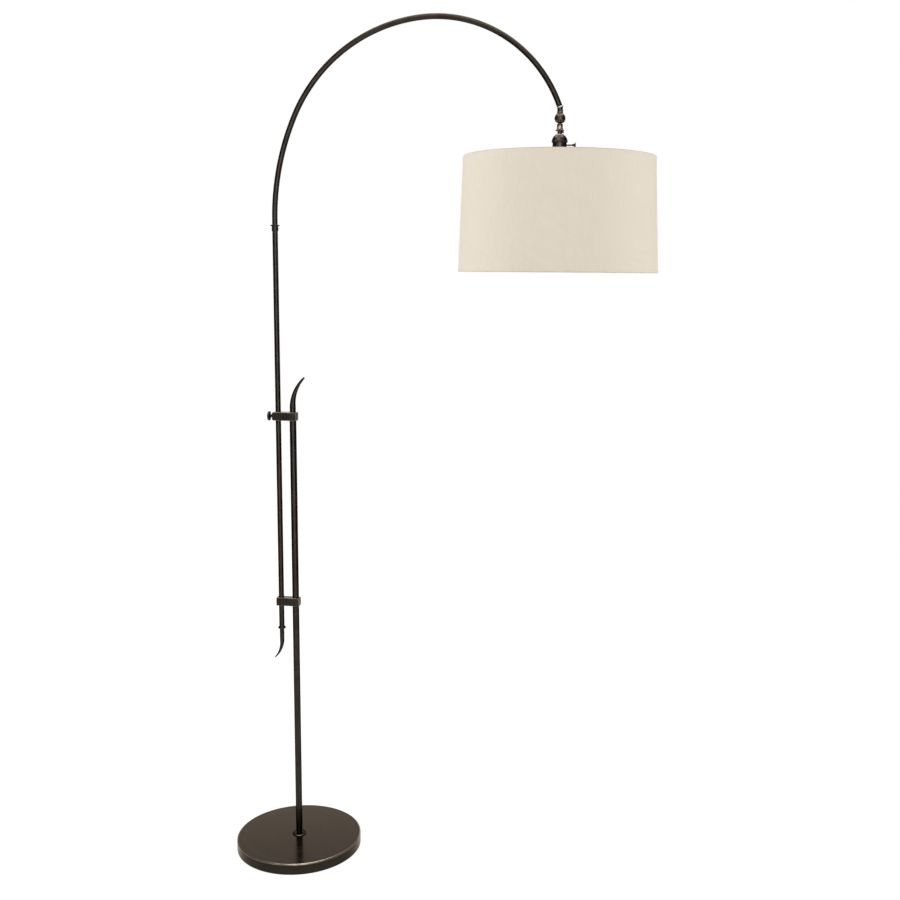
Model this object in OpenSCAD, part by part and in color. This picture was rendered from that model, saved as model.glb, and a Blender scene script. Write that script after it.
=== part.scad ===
// Adjustable floor lamp: a weighted base, a pole with two brackets, and an arched arm that
// slides and swings in them, with a drum shade on a ball swivel.
// Millimetres. The origin is the centre of the base on the floor, +Z is up, and the arm
// reaches towards +X.

/* [Base] */
// Diameter of the round base
base_d = 305; // [250:1:380]
// Height of the top of the base above the floor
base_h = 28; // [24:0.5:40]
// Thickness of the spun cover
cover_wall = 1.5; // [1:0.1:2.5]
// Radius of the cover's rounded top edge
cover_edge_r = 3; // [2.5:0.5:6]
// Thickness of the felt under the base
felt_t = 1.5; // [1:0.5:3]
// How far the felt stays inside the cover's edge
felt_inset = 2; // [1:0.5:6]
// Gap between the cast weight and the cover's side
weight_gap = 0.5; // [0.3:0.1:2]
// Diameter of the recess under the weight
recess_d = 40; // [32:1:60]
// Depth of the recess under the weight
recess_depth = 12.5; // [10:0.5:16]
// Diameter of the washer under the weight
washer_d = 28; // [22:1:31]
// Thickness of the washer
washer_t = 2; // [1.5:0.1:2.5]
// Width of the base nut across its flats
nut_flats = 15; // [13:1:18]
// Height of the base nut
nut_h = 6; // [5:0.5:7]
// Length of the stud below its nut
stud_end = 1; // [0.5:0.5:3]

/* [Pole] */
// Outer diameter of the pole
pole_d = 15.9; // [14.5:0.1:18]
// Wall of the pole tube
pole_wall = 1.5; // [1:0.1:1.8]
// Diameter of the flange round the foot of the pole
collar_d = 33; // [24:1:45]
// Thickness of that flange
collar_t = 3; // [2:0.5:5]
// Outer diameter of the nipples in the pole
nipple_d = 9.6; // [9:0.1:10]
// Bore of the nipples in the pole
nipple_bore = 6; // [5:0.1:7]
// Length of each threaded plug in the pole
pole_plug_len = 14; // [12:1:20]
// How far a nipple reaches into a plug or a finial
nipple_reach = 11; // [9:0.5:11.5]

/* [Brackets] */
// Height of the underside of the lower bracket above the floor
lower_bracket_z = 617; // [560:1:700]
// Clear distance between the two brackets
bracket_span = 434; // [350:1:520]
// Distance between the pole and the sliding tube, centre to centre
tube_gap = 36; // [32:0.5:46]
// Height of each bracket
bar_h = 20; // [18:0.5:26]
// Depth of each bracket, front to back
bar_w = 19; // [18:0.5:24]
// Metal beyond the pole's centre
bar_end = 10.5; // [9.5:0.5:14]
// Metal beyond the tube's centre on the lower bracket
lower_tube_end = 10; // [9.5:0.5:14]
// Metal beyond the tube's centre on the upper bracket, which takes the thumb screw
upper_tube_end = 13; // [12:0.5:16]
// Radius of the brackets' small rounded edges
bar_edge_r = 1; // [0.5:0.1:1.5]
// Radius of the rounded end round the thumb screw
bar_nose_r = 4.5; // [2:0.5:6]
// Wall of the sleeve between a bracket and the tube
liner_wall = 1.2; // [0.8:0.1:1.4]

/* [Thumb screw] */
// Diameter of the thumb screw's thread
screw_d = 6; // [4:0.5:7]
// Diameter of the thumb screw's knob
knob_d = 22.5; // [16:0.5:28]
// Thickness of the knob
knob_t = 4; // [3:0.5:6]
// Distance from the bracket's end to the knob
knob_stand = 7.5; // [5.5:0.5:10]
// Diameter of the knob's hub
hub_d = 9; // [8:0.5:11]
// Length of the hub
hub_len = 3; // [2:0.5:4]
// Thickness of the pad that the screw presses
pad_t = 1.5; // [1:0.1:2]

/* [Pole finial] */
// Diameter of the finial where it meets the upper bracket
horn_d = 14.4; // [13:0.1:15.5]
// Diameter at its tip
horn_tip_d = 4.6; // [3:0.1:7]
// Length of its straight foot
horn_foot = 14; // [13:0.5:25]
// Depth of its bore past the nipple
horn_bore_room = 1.5; // [0.5:0.5:2.5]
// Radius of its curve
horn_bend_r = 96; // [70:1:140]
// Angle of its curve
horn_bend = 45; // [20:1:70]

/* [Arm] */
// Outer diameter of the sliding tube and the arch
tube_d = 12.7; // [12:0.1:13.2]
// Wall of that tube
tube_wall = 1.2; // [0.8:0.1:1.3]
// Distance from the lower bracket down to the bead
rise_room = 54; // [30:1:90]
// Length of the straight sliding tube
slide_len = 964; // [800:1:1100]
// Diameter of the bead at the foot of the tube
bead_d = 18.8; // [15:0.1:23]
// Height of the bead
bead_h = 5.4; // [3:0.1:8]
// Diameter of the coupling ring
ring_d = 21.6; // [17:0.1:26]
// Thickness of the coupling ring
ring_t = 2.6; // [1.5:0.1:5]
// Outer diameter of the collar under the coupling ring
sleeve_d = 15.2; // [14.5:0.1:17]
// Length of that collar
sleeve_len = 12; // [6:0.5:25]
// Outer diameter of the nipples in the arm
arm_nipple_d = 8; // [7:0.1:8.4]
// Bore of the nipples in the arm
arm_nipple_bore = 5; // [4:0.1:5.4]
// Length of each threaded plug in the arm
arm_plug_len = 10; // [9:0.5:11]
// How far a nipple reaches into the arm's plugs
arm_nipple_reach = 8; // [6:0.5:8.5]

/* [Arch] */
// Straight length between the coupling ring and the first bend
arch_foot = 12; // [11:1:40]
// Radius of the long bend that rises from the tube
rise_r = 565; // [480:1:640]
// Angle of that bend
rise_bend = 24.5; // [20:0.5:28]
// Radius of the bend up to the crown
crown_r = 362; // [320:1:400]
// Angle of that bend
crown_bend = 60.5; // [56:0.5:64]
// Radius of the bend down to the shade
drop_r = 303; // [280:1:330]
// Angle of that bend
drop_bend = 75; // [66:0.5:78]

/* [Tail finial] */
// Diameter of the tail finial where it meets the bead
tail_d = 10.8; // [10.4:0.1:12.4]
// Diameter at its tip
tail_tip_d = 2.6; // [2:0.1:5]
// Length of its straight part
tail_foot = 30; // [26:1:45]
// Radius of its curve
tail_bend_r = 62; // [45:1:90]
// Angle of its curve
tail_bend = 45; // [20:1:65]
// Distance from the bead down to the cord bushing
bushing_drop = 14; // [13:0.5:17]
// Outer diameter of the cord bushing
bushing_d = 5.8; // [5:0.1:6.4]
// Bore of the cord bushing
bushing_bore = 3.8; // [3:0.1:4.2]
// Width of the cord bushing's flange
bushing_flange = 1; // [0.5:0.1:1.5]
// Thickness of that flange
bushing_flange_t = 1.2; // [0.8:0.1:2]
// Depth of the finial's bore past the cord bushing
tail_bore_room = 1; // [0.5:0.5:4]

/* [Swivel] */
// Diameter of the ring at the end of the arch
end_ring_d = 15.8; // [14.5:0.1:18]
// Thickness of that ring
end_ring_t = 2.4; // [1.5:0.1:4]
// Diameter of the neck above the ball
neck_d = 13; // [12.4:0.1:14]
// Length of the neck above the ball
neck_len = 8.6; // [8.5:0.1:12]
// Diameter of the ball
ball_d = 24.4; // [23.6:0.1:28]
// Wall of the hollow ball
ball_wall = 2.6; // [2.3:0.1:2.8]
// Length of the ball's own collar under the neck
ball_collar = 1.4; // [1:0.1:4]
// Diameter of the spigot that turns in the neck
spigot_d = 7.8; // [7.2:0.1:8.2]
// Length of the spigot
spigot_len = 5.8; // [5.6:0.1:6]
// Thickness of the retaining clip on the spigot
clip_t = 0.8; // [0.6:0.1:1]
// How far the clip stands out from the spigot
clip_w = 1; // [0.7:0.1:1.2]
// Depth of the clip's groove in the spigot
clip_groove = 0.6; // [0.4:0.1:0.8]
// Height of the shoulder in the neck that the clip rests on
clip_shoulder = 3.4; // [3:0.1:3.6]
// Diameter of the wireway through the swivel
wireway_d = 4.6; // [3.6:0.1:5]
// Diameter of the stem that carries the socket
stem_d = 8; // [7:0.1:8.6]
// Diameter of the two tilt pins
pin_d = 3; // [2:0.1:3.6]
// How far a tilt pin reaches into the knuckle
pin_bite = 3.7; // [2.5:0.1:4.5]
// Depth of a tilt pin's end below the face of the ball
pin_inset = 0.6; // [0.3:0.1:1]
// How far the shade tilts each way
tilt_limit = 35; // [15:1:40]
// Top diameter of the bell under the ball
bell_top_d = 13; // [11:0.1:14]
// Bottom diameter of the bell
bell_d = 20; // [17:0.1:24]
// Height of the bell
bell_h = 14.8; // [12:0.1:20]
// Height of the plain neck at the top of the bell
bell_neck = 6.5; // [4:0.1:8]
// Thickness of the lip at the bottom of the bell
bell_lip = 1.4; // [0.8:0.1:2.4]
// Diameter of the lock collar under the bell
lock_d = 10.4; // [10:0.1:13]
// Height of the lock collar
lock_h = 7; // [6:0.5:10]
// Diameter of the lock screw's thread
lock_screw_d = 2.4; // [2:0.1:3]
// Diameter of the lock screw's head
lock_head_d = 3.8; // [3:0.1:4.6]
// Length of the lock screw's head
lock_head_len = 3.6; // [2:0.1:5]
// Height of the lock screw above the middle of its collar
lock_screw_rise = 0.8; // [0:0.1:1.5]

/* [Socket] */
// Radius of the socket cap's dome
dome_r = 17.7; // [17.2:0.1:19]
// Diameter of the raised plate on top of the dome
plate_d = 19; // [15:0.5:22]
// Thickness of that plate
plate_t = 1.5; // [1:0.1:2.5]
// Sheet thickness of the cap
cap_wall = 1.2; // [0.8:0.1:1.3]
// Diameter of the rolled bead round the cap
cap_bead_d = 36; // [35:0.1:40]
// Height of that bead
cap_bead_h = 4; // [3:0.1:5]
// Length of the hub inside the cap that holds the stem
cap_hub_len = 7.5; // [5:0.5:9]
// Wall of that hub
cap_hub_wall = 2.4; // [1.6:0.1:3]
// Outer diameter of the socket shell
shell_d = 31.4; // [31:0.1:31.8]
// Sheet thickness of the socket shell
shell_wall = 0.6; // [0.5:0.05:0.7]
// Length of the socket shell
shell_len = 56; // [54:1:70]
// Distance from the top of the cap to the key's axis
key_drop = 23.9; // [21:0.1:28]
// Distance from the socket's axis to the inner end of the key shaft
key_start = 3; // [2:0.5:6]
// Diameter of the key shaft
key_shaft_d = 3.2; // [2.6:0.1:4]
// Reach of the key from the socket's axis
key_reach = 36; // [30:0.5:48]
// Length of the key's flared blade
blade_len = 8; // [6:0.5:12]
// Height of the blade at its outer end
blade_h = 15; // [10:0.5:18]
// Thickness of the blade
blade_t = 2.2; // [1.5:0.1:3]
// Height of the blade where it meets the shaft
blade_root_h = 4.6; // [4.2:0.1:6]
// How far the blade's outer edge is crowned
blade_crown = 1; // [0.2:0.1:2]
// Diameter of the switch body
switch_d = 28.2; // [26:0.1:28.6]
// Distance from the key's axis to the bottom of the switch body
switch_drop = 22; // [19:0.5:23]
// Gap between the cap's hub and the switch body
switch_room = 1; // [0.5:0.5:2]
// Diameter of the wire recess in the top of the switch body
switch_recess_d = 10; // [8:0.5:16]
// Depth of that recess
switch_recess = 3; // [2:0.5:5]
// Thickness of the socket's insulating liner
liner_t = 0.5; // [0.3:0.1:0.6]
// Distance from the shell's bottom to the liner
liner_foot = 1; // [0.5:0.5:3]
// Distance from the liner to the shell's top
liner_head = 2; // [1:0.5:4]
// Sheet thickness of the screw shell
screw_shell_t = 0.4; // [0.3:0.1:0.5]
// Distance from the socket shell's bottom to the screw shell
screw_shell_foot = 1.5; // [1:0.5:4]
// Diameter of the hole at the top of the screw shell
screw_shell_hole_d = 12; // [9:0.5:18]
// Diameter of the centre contact
contact_d = 7; // [5:0.5:8]
// Thickness of the centre contact
contact_t = 0.5; // [0.3:0.1:0.8]
// Diameter of the centre contact's pin
contact_pin_d = 2.4; // [1.6:0.1:3]
// Distance from the switch body to the top of the centre contact
contact_drop = 2.6; // [2:0.1:4]
// Diameter of the clamping flange on the shell
flange_d = 40; // [38:0.5:46]
// Thickness of the clamping flange
flange_t = 1.2; // [0.8:0.1:2]
// Diameter of the threaded band below the flange
thread_d = 33; // [32.6:0.1:34]
// Height of the ring nut under the shade
ring_nut_h = 6; // [4:0.5:8]
// Outer diameter of the ring nut
ring_nut_d = 43; // [40:0.5:48]
// Length of thread left below the ring nut
thread_end = 1.4; // [0.6:0.1:4]

/* [Shade] */
// Diameter of the shade at its top
shade_top_d = 430; // [360:1:480]
// Diameter of the shade at its bottom
shade_bottom_d = 450; // [380:1:500]
// Height of the shade
shade_h = 254; // [220:1:300]
// Thickness of the linen
linen_t = 0.7; // [0.5:0.1:1]
// Thickness of the stiff lining
lining_t = 0.8; // [0.6:0.1:1.2]
// Extra thickness of the rolled hems
hem_t = 0.6; // [0.4:0.1:1.2]
// Height of the rolled hems
hem_h = 6; // [4:0.5:12]
// Diameter of the wire rings
wire_d = 3; // [2:0.1:4]
// Room between a wire ring and the edge of the shade
wire_room = 0.6; // [0.4:0.1:1.5]
// Radial ease of the wire ring at the wider end
wire_ease = 0.2; // [0.1:0.05:0.4]
// Diameter of the spider arms
arm_wire_d = 3.2; // [2.4:0.1:4]
// Gap at each end of a spider arm
arm_end_gap = 0.2; // [0.1:0.05:0.3]
// Depth of the fitter hub below the top of the shade
fitter_drop = 8; // [7:0.5:30]
// Outer diameter of the fitter hub
fitter_d = 42; // [40:0.5:48]
// Thickness of the fitter hub
fitter_t = 2.4; // [1.6:0.1:4]

/* [Bulb] */
// Diameter of the bulb's globe
globe_d = 60; // [50:1:64]
// Length of the bulb below its cap
globe_len = 93; // [84:1:104]
// Diameter of the bulb's screw cap
bulb_cap_d = 26; // [25.6:0.1:26.2]
// Length of the bulb's screw cap
bulb_cap_len = 21; // [19:0.5:26]
// Height of the cap's sloping shoulder
bulb_shoulder_h = 4; // [2:0.5:6]
// Diameter of the flat at the top of the cap
bulb_land_d = 11.7; // [9:0.1:15]
// Diameter of the bulb's contact
tip_d = 8; // [6:0.5:9]
// Height of that contact
tip_t = 1.6; // [1:0.1:2.2]
// Thickness of the glass
glass_t = 0.8; // [0.5:0.1:1.2]

/* [Fits] */
// Radial gap of a fixed fit
fit_gap = 0.05; // [0.03:0.01:0.08]
// Radial gap of a fit that turns or slides
run_gap = 0.06; // [0.03:0.01:0.09]
// Extra ease of the hidden pieces in the swivel and the socket
hidden_ease = 0.1; // [0.05:0.05:0.2]
// Gap between pieces that move past each other
clear_gap = 0.3; // [0.3:0.05:0.4]

/* [Hidden] */
$fn = 96;

// Colours
bronze = [0.16, 0.13, 0.11];
worn_bronze = [0.34, 0.28, 0.22];
iron = [0.22, 0.22, 0.23];
zinc = [0.62, 0.63, 0.64];
brass = [0.72, 0.58, 0.32];
linen = [0.88, 0.84, 0.78];

// Radii
pole_r = pole_d / 2;
nipple_r = nipple_d / 2;
tube_r = tube_d / 2;
tube_bore_r = tube_r - tube_wall;
arm_nipple_r = arm_nipple_d / 2;
liner_in_r = tube_r + run_gap;
liner_out_r = liner_in_r + liner_wall;
screw_r = screw_d / 2;

// Heights of the base and the pole
weight_bottom = felt_t;
weight_top = base_h - cover_wall;
recess_top = weight_bottom + recess_depth;
stud_bottom = recess_top - washer_t - nut_h - stud_end;
lower_bracket_top = lower_bracket_z + bar_h;
upper_bracket_z = lower_bracket_top + bracket_span;
upper_bracket_top = upper_bracket_z + bar_h;
screw_z = upper_bracket_z + bar_h / 2;

// Places along the thumb screw, measured from the tube's axis
pad_face = liner_out_r + clear_gap;
screw_face = pad_face + pad_t;
knob_face = upper_tube_end + knob_stand;

// Heights of the arm
bead_top = lower_bracket_z - rise_room;
bead_bottom = bead_top - bead_h;
tube_top = bead_top + slide_len;
ring_top = tube_top + ring_t;
arch_z = ring_top + arch_foot;
tail_bore_depth = bushing_drop + bushing_d / 2 + tail_bore_room;
tail_bore_r = arm_nipple_r + fit_gap;

// The arch's three bends, each as centre and end point in the plane of the arm
turn_1 = rise_bend;
turn_2 = rise_bend + crown_bend;
turn_3 = turn_2 + drop_bend;
function outward(a) = [-cos(a), sin(a)];
rise_centre = [rise_r - tube_gap, arch_z];
rise_end = rise_centre + rise_r * outward(turn_1);
crown_centre = rise_end - crown_r * outward(turn_1);
crown_end = crown_centre + crown_r * outward(turn_2);
drop_centre = crown_end - drop_r * outward(turn_2);
arch_end = drop_centre + drop_r * outward(turn_3);
bend_lap = 0.5;
lap_step = 0.05;

// The swivel hangs below the middle of the end ring's lower face
head_x = arch_end[0] + end_ring_t * sin(turn_3);
ring_face_z = arch_end[1] + end_ring_t * cos(turn_3);
neck_bottom = ring_face_z - neck_len;
neck_r = neck_d / 2;
ball_r = ball_d / 2;
cavity_r = ball_r - ball_wall;
knuckle_r = cavity_r - clear_gap - hidden_ease;
spigot_r = spigot_d / 2;
collar_top = neck_bottom - clear_gap;
ball_z = collar_top - ball_collar - ball_r;
clip_z = neck_bottom + clip_shoulder + clear_gap;
clip_out_r = spigot_r + clip_w;
cover_r = cavity_r - 2 * hidden_ease;
pin_r = pin_d / 2;
pin_inner = knuckle_r - pin_bite;
pin_outer = ball_r - pin_inset;
stem_r = stem_d / 2;
slot_ease = 0.05;
slot_r = stem_r + clear_gap + slot_ease;
bell_top = ball_z - ball_r - clear_gap;
bell_bottom = bell_top - bell_h;
lock_bottom = bell_bottom - lock_h;
lock_screw_z = bell_bottom - lock_h / 2 + lock_screw_rise;

// Heights of the socket
cap_top = lock_bottom;
plate_bottom = cap_top - plate_t;
dome_z = plate_bottom - sqrt(dome_r * dome_r - plate_d * plate_d / 4);
dome_in_r = dome_r - cap_wall;
bead_z = dome_z;
cap_hub_bottom = plate_bottom - cap_hub_len;
shell_r = shell_d / 2;
shell_top = dome_z + sqrt(dome_in_r * dome_in_r - shell_r * shell_r) - clear_gap;
shell_bottom = shell_top - shell_len;
shell_in_r = shell_r - shell_wall;
key_z = cap_top - key_drop;
key_hole_r = key_shaft_d / 2 + clear_gap;
thread_r = thread_d / 2;
fitter_bottom = shell_bottom + ring_nut_h + thread_end;
fitter_top = fitter_bottom + fitter_t;
switch_r = switch_d / 2;
switch_top = cap_hub_bottom - switch_room;
switch_bottom = key_z - switch_drop;
liner_r = shell_in_r - hidden_ease;
screw_shell_in_r = bulb_cap_d / 2 + 2 * hidden_ease;
contact_z = switch_bottom - contact_drop;
bulb_top = contact_z - contact_t;
bulb_cap_top = bulb_top - tip_t;
bulb_cap_bottom = bulb_cap_top - bulb_cap_len;
globe_r = globe_d / 2;
globe_z = bulb_cap_bottom - globe_len + globe_r;

// Heights and radii of the shade
shade_top = fitter_top + fitter_drop;
shade_bottom = shade_top - shade_h;
wire_r = wire_d / 2;
wire_inset = wire_r + wire_room;
cloth_inset = hem_t + linen_t;
function shade_r(z) = (shade_bottom_d + (shade_top_d - shade_bottom_d) * (z - shade_bottom) / shade_h) / 2;
function wire_ring_r(z) = shade_r(z) - cloth_inset - lining_t - wire_r - 3 * fit_gap;
top_wire_z = shade_top - wire_inset;
bottom_wire_z = shade_bottom + wire_inset;
top_wire_r = wire_ring_r(top_wire_z) - (shade_bottom_d > shade_top_d ? 0 : wire_ease);
bottom_wire_r = wire_ring_r(bottom_wire_z) - (shade_bottom_d > shade_top_d ? wire_ease : 0);
arm_z = fitter_bottom + arm_wire_d / 2 + fit_gap;

// A flat ring with a fully rounded rim
module rounded_ring(out_r, in_r, h) {
    rotate_extrude() {
        translate([in_r, 0]) square([out_r - h / 2 - in_r, h]);
        translate([out_r - h / 2, h / 2]) circle(h / 2);
    }
}

// A plain tube along +Z
module tube(out_r, in_r, h) {
    difference() {
        cylinder(r = out_r, h = h);
        translate([0, 0, -1]) cylinder(r = in_r, h = h + 2);
    }
}

// A rectangle whose left and right corners are rounded by their own radii
module rounded_outline(x0, x1, y0, y1, left_r, right_r) {
    translate([x0 + left_r, y0]) square([x1 - x0 - left_r - right_r, y1 - y0]);
    translate([x0, y0 + left_r]) square([left_r * 2, y1 - y0 - 2 * left_r]);
    translate([x1 - 2 * right_r, y0 + right_r]) square([right_r * 2, y1 - y0 - 2 * right_r]);
    for (y = [y0 + left_r, y1 - left_r]) translate([x0 + left_r, y]) circle(left_r);
    for (y = [y0 + right_r, y1 - right_r]) translate([x1 - right_r, y]) circle(right_r);
}

// A bracket bar from x0 to x1, standing on z = 0, with rounded edges
module bar(x0, x1, nose_r) {
    intersection() {
        translate([0, bar_w / 2, 0]) rotate([90, 0, 0]) linear_extrude(bar_w)
            rounded_outline(x0, x1, 0, bar_h, nose_r, bar_edge_r);
        linear_extrude(bar_h)
            rounded_outline(x0, x1, -bar_w / 2, bar_w / 2, bar_edge_r, bar_edge_r);
        translate([x0, 0, 0]) rotate([90, 0, 90]) linear_extrude(x1 - x0)
            rounded_outline(-bar_w / 2, bar_w / 2, 0, bar_h, bar_edge_r, bar_edge_r);
    }
}

// The bores of a bracket: the nipple's on the pole's axis, and the sleeve's on the tube's
module bracket_bores() {
    translate([0, 0, -1]) cylinder(r = nipple_r + fit_gap, h = bar_h + 2);
    translate([-tube_gap, 0, -1]) cylinder(r = liner_out_r + run_gap, h = bar_h + 2);
}

// A bend of the arch round centre c, from turn a to turn b, that runs on by a lap at each end
module arch_bend(c, r, a, b, bar_r, lap_a, lap_b) {
    first = a - lap_a / r * 180 / PI;
    last = b + lap_b / r * 180 / PI;
    translate([c[0], 0, c[1]]) rotate([90, 0, 0]) rotate([0, 0, 180 - last])
        rotate_extrude(angle = last - first) translate([r, 0]) circle(bar_r);
}

// The whole arch as a bar that runs on beyond both ends. Its first and last bends are a hair
// thicker than the foot and the crown, so that the lapped pieces fuse without shared faces.
module arch_bar(bar_r, beyond) {
    translate([-tube_gap, 0, ring_top - beyond]) cylinder(r = bar_r, h = arch_foot + beyond);
    arch_bend(rise_centre, rise_r, 0, turn_1, bar_r + lap_step, bend_lap, bend_lap);
    arch_bend(crown_centre, crown_r, turn_1, turn_2, bar_r, 0, 0);
    arch_bend(drop_centre, drop_r, turn_2, turn_3, bar_r + lap_step, bend_lap, beyond);
}

// Places its children at the end of the arch, with +Z along the tube and out of it
module at_arch_end() {
    translate([arch_end[0], 0, arch_end[1]]) rotate([0, turn_3, 0]) children();
}

// A tapered horn that leaves the origin along +Z, bends towards +X and ends in a round tip. It
// starts a lap below the origin, and a step slimmer than the foot that it fuses with.
horn_sides = 24;
horn_rings = 20;
tip_rings = 4;
horn_lap = 1;
horn_step = 0.1;
function horn_spine(r, bend, t) = [r * (1 - cos(bend * t)), r * sin(bend * t), bend * t];
function horn_ring(s, radius, along) = [
    for (k = [0 : horn_sides - 1])
        let (a = 360 * k / horn_sides, u = radius * cos(a))
        [s[0] + u * cos(s[2]) + along * sin(s[2]), radius * sin(a), s[1] - u * sin(s[2]) + along * cos(s[2])]
];
module horn(r, bend, d, tip_d) {
    tip_r = tip_d / 2;
    start_d = d - horn_step;
    last = horn_spine(r, bend, 1);
    body = [
        each horn_ring(horn_spine(r, bend, 0), start_d / 2, -horn_lap),
        for (i = [0 : horn_rings])
            let (t = i / horn_rings)
            each horn_ring(horn_spine(r, bend, t), (start_d + (tip_d - start_d) * t) / 2, 0)
    ];
    tip = [
        for (i = [1 : tip_rings - 1])
            let (a = 90 * i / tip_rings)
            each horn_ring(last, tip_r * cos(a), tip_r * sin(a))
    ];
    point = [last[0] + tip_r * sin(bend), 0, last[1] + tip_r * cos(bend)];
    n = horn_rings + tip_rings + 1;
    sides = [
        for (i = [0 : n - 2], k = [0 : horn_sides - 1])
            let (a = i * horn_sides + k, b = i * horn_sides + (k + 1) % horn_sides)
            each [[a, a + horn_sides, b], [b, a + horn_sides, b + horn_sides]]
    ];
    top = (n - 1) * horn_sides;
    cap = [for (k = [0 : horn_sides - 1]) [top + k, n * horn_sides, top + (k + 1) % horn_sides]];
    foot = [[for (k = [0 : horn_sides - 1]) k]];
    polyhedron(points = concat(body, tip, [point]), faces = concat(sides, cap, foot), convexity = 4);
}

// Base

module base_cover() {
    r = base_d / 2;
    in_r = r - cover_wall;
    edge_in_r = cover_edge_r - cover_wall;
    color(bronze) difference() {
        translate([0, 0, felt_t]) rotate_extrude() {
            square([r, base_h - felt_t - cover_edge_r]);
            square([r - cover_edge_r, base_h - felt_t]);
            translate([r - cover_edge_r, base_h - felt_t - cover_edge_r]) circle(cover_edge_r);
        }
        translate([0, 0, felt_t - 1]) rotate_extrude() {
            square([in_r, weight_top - felt_t + 1 - edge_in_r]);
            square([in_r - edge_in_r, weight_top - felt_t + 1]);
            translate([in_r - edge_in_r, weight_top - felt_t + 1 - edge_in_r]) circle(edge_in_r);
        }
        cylinder(r = nipple_r + fit_gap, h = base_h + 1);
    }
}

module base_weight() {
    r = base_d / 2 - cover_wall - weight_gap;
    h = weight_top - weight_bottom;
    bevel = cover_edge_r;
    color(iron) difference() {
        translate([0, 0, weight_bottom]) rotate_extrude()
            polygon([[0, 0], [r, 0], [r, h - bevel], [r - bevel, h], [0, h]]);
        translate([0, 0, weight_bottom - 1]) cylinder(r = recess_d / 2, h = recess_depth + 1);
        cylinder(r = nipple_r + fit_gap, h = base_h);
    }
}

module base_felt() {
    color("darkgreen") cylinder(r = base_d / 2 - felt_inset, h = felt_t);
}

module base_stud() {
    color(zinc) translate([0, 0, stud_bottom])
        tube(nipple_r, nipple_bore / 2, base_h + nipple_reach - stud_bottom);
}

module base_washer() {
    color(zinc) translate([0, 0, recess_top - washer_t])
        tube(washer_d / 2, nipple_r + fit_gap, washer_t);
}

module base_nut() {
    color(zinc) translate([0, 0, recess_top - washer_t - nut_h]) difference() {
        cylinder(r = nut_flats / sqrt(3), h = nut_h, $fn = 6);
        translate([0, 0, -1]) cylinder(r = nipple_r + fit_gap, h = nut_h + 2);
    }
}

// Pole

module pole_collar() {
    color(bronze) translate([0, 0, base_h])
        rounded_ring(collar_d / 2, pole_r + fit_gap, collar_t);
}

module lower_pole() {
    color(bronze) translate([0, 0, base_h])
        tube(pole_r, pole_r - pole_wall, lower_bracket_z - base_h);
}

module upper_pole() {
    color(bronze) translate([0, 0, lower_bracket_top])
        tube(pole_r, pole_r - pole_wall, bracket_span);
}

module pole_plugs() {
    starts = [
        base_h, lower_bracket_z - pole_plug_len,
        lower_bracket_top, upper_bracket_z - pole_plug_len
    ];
    color(brass) for (z = starts) translate([0, 0, z])
        tube(pole_r - pole_wall - fit_gap, nipple_r + fit_gap, pole_plug_len);
}

module mid_nipple() {
    color(zinc) translate([0, 0, lower_bracket_z - nipple_reach])
        tube(nipple_r, nipple_bore / 2, bar_h + 2 * nipple_reach);
}

module top_nipple() {
    color(zinc) translate([0, 0, upper_bracket_z - nipple_reach])
        tube(nipple_r, nipple_bore / 2, bar_h + 2 * nipple_reach);
}

module lower_bracket() {
    color(bronze) translate([0, 0, lower_bracket_z]) difference() {
        bar(-tube_gap - lower_tube_end, bar_end, bar_edge_r);
        bracket_bores();
    }
}

module upper_bracket() {
    color(bronze) translate([0, 0, upper_bracket_z]) difference() {
        bar(-tube_gap - upper_tube_end, bar_end, bar_nose_r);
        bracket_bores();
        translate([-tube_gap, 0, bar_h / 2]) rotate([0, -90, 0])
            cylinder(r = screw_r + run_gap, h = upper_tube_end + 1);
    }
}

module pole_finial() {
    color(bronze) translate([0, 0, upper_bracket_top]) difference() {
        union() {
            cylinder(d = horn_d, h = horn_foot);
            translate([0, 0, horn_foot]) horn(horn_bend_r, horn_bend, horn_d, horn_tip_d);
        }
        translate([0, 0, -1])
            cylinder(r = nipple_r + fit_gap, h = nipple_reach + horn_bore_room);
    }
}

// Sleeves and thumb screw

module lower_liner() {
    color("dimgray") translate([-tube_gap, 0, lower_bracket_z])
        tube(liner_out_r, liner_in_r, bar_h);
}

module upper_liner() {
    color("dimgray") translate([-tube_gap, 0, upper_bracket_z])
        tube(liner_out_r, liner_in_r, bar_h);
}

module screw_pad() {
    color(brass) translate([-tube_gap - pad_face, 0, screw_z]) rotate([0, -90, 0])
        cylinder(r = screw_r - clear_gap, h = pad_t);
}

module thumb_screw() {
    color(worn_bronze) translate([-tube_gap, 0, screw_z]) rotate([0, -90, 0]) union() {
        translate([0, 0, screw_face]) cylinder(r = screw_r, h = knob_face - screw_face);
        translate([0, 0, knob_face - hub_len]) cylinder(d = hub_d, h = hub_len);
        translate([0, 0, knob_face]) rounded_ring(knob_d / 2, 0, knob_t);
    }
}

// Arm

module slide_tube() {
    color(bronze) translate([-tube_gap, 0, bead_top]) tube(tube_r, tube_bore_r, slide_len);
}

module arm_plugs() {
    color(brass) for (z = [bead_top, tube_top - arm_plug_len, ring_top])
        translate([-tube_gap, 0, z])
            tube(tube_bore_r - fit_gap, arm_nipple_r + fit_gap, arm_plug_len);
}

module coupling_collar() {
    color(bronze) translate([-tube_gap, 0, tube_top - sleeve_len])
        tube(sleeve_d / 2, tube_r + fit_gap, sleeve_len);
}

module coupling_ring() {
    color(worn_bronze) translate([-tube_gap, 0, tube_top])
        rounded_ring(ring_d / 2, arm_nipple_r + fit_gap, ring_t);
}

module coupling_nipple() {
    color(zinc) translate([-tube_gap, 0, tube_top - arm_nipple_reach])
        tube(arm_nipple_r, arm_nipple_bore / 2, ring_t + 2 * arm_nipple_reach);
}

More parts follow.
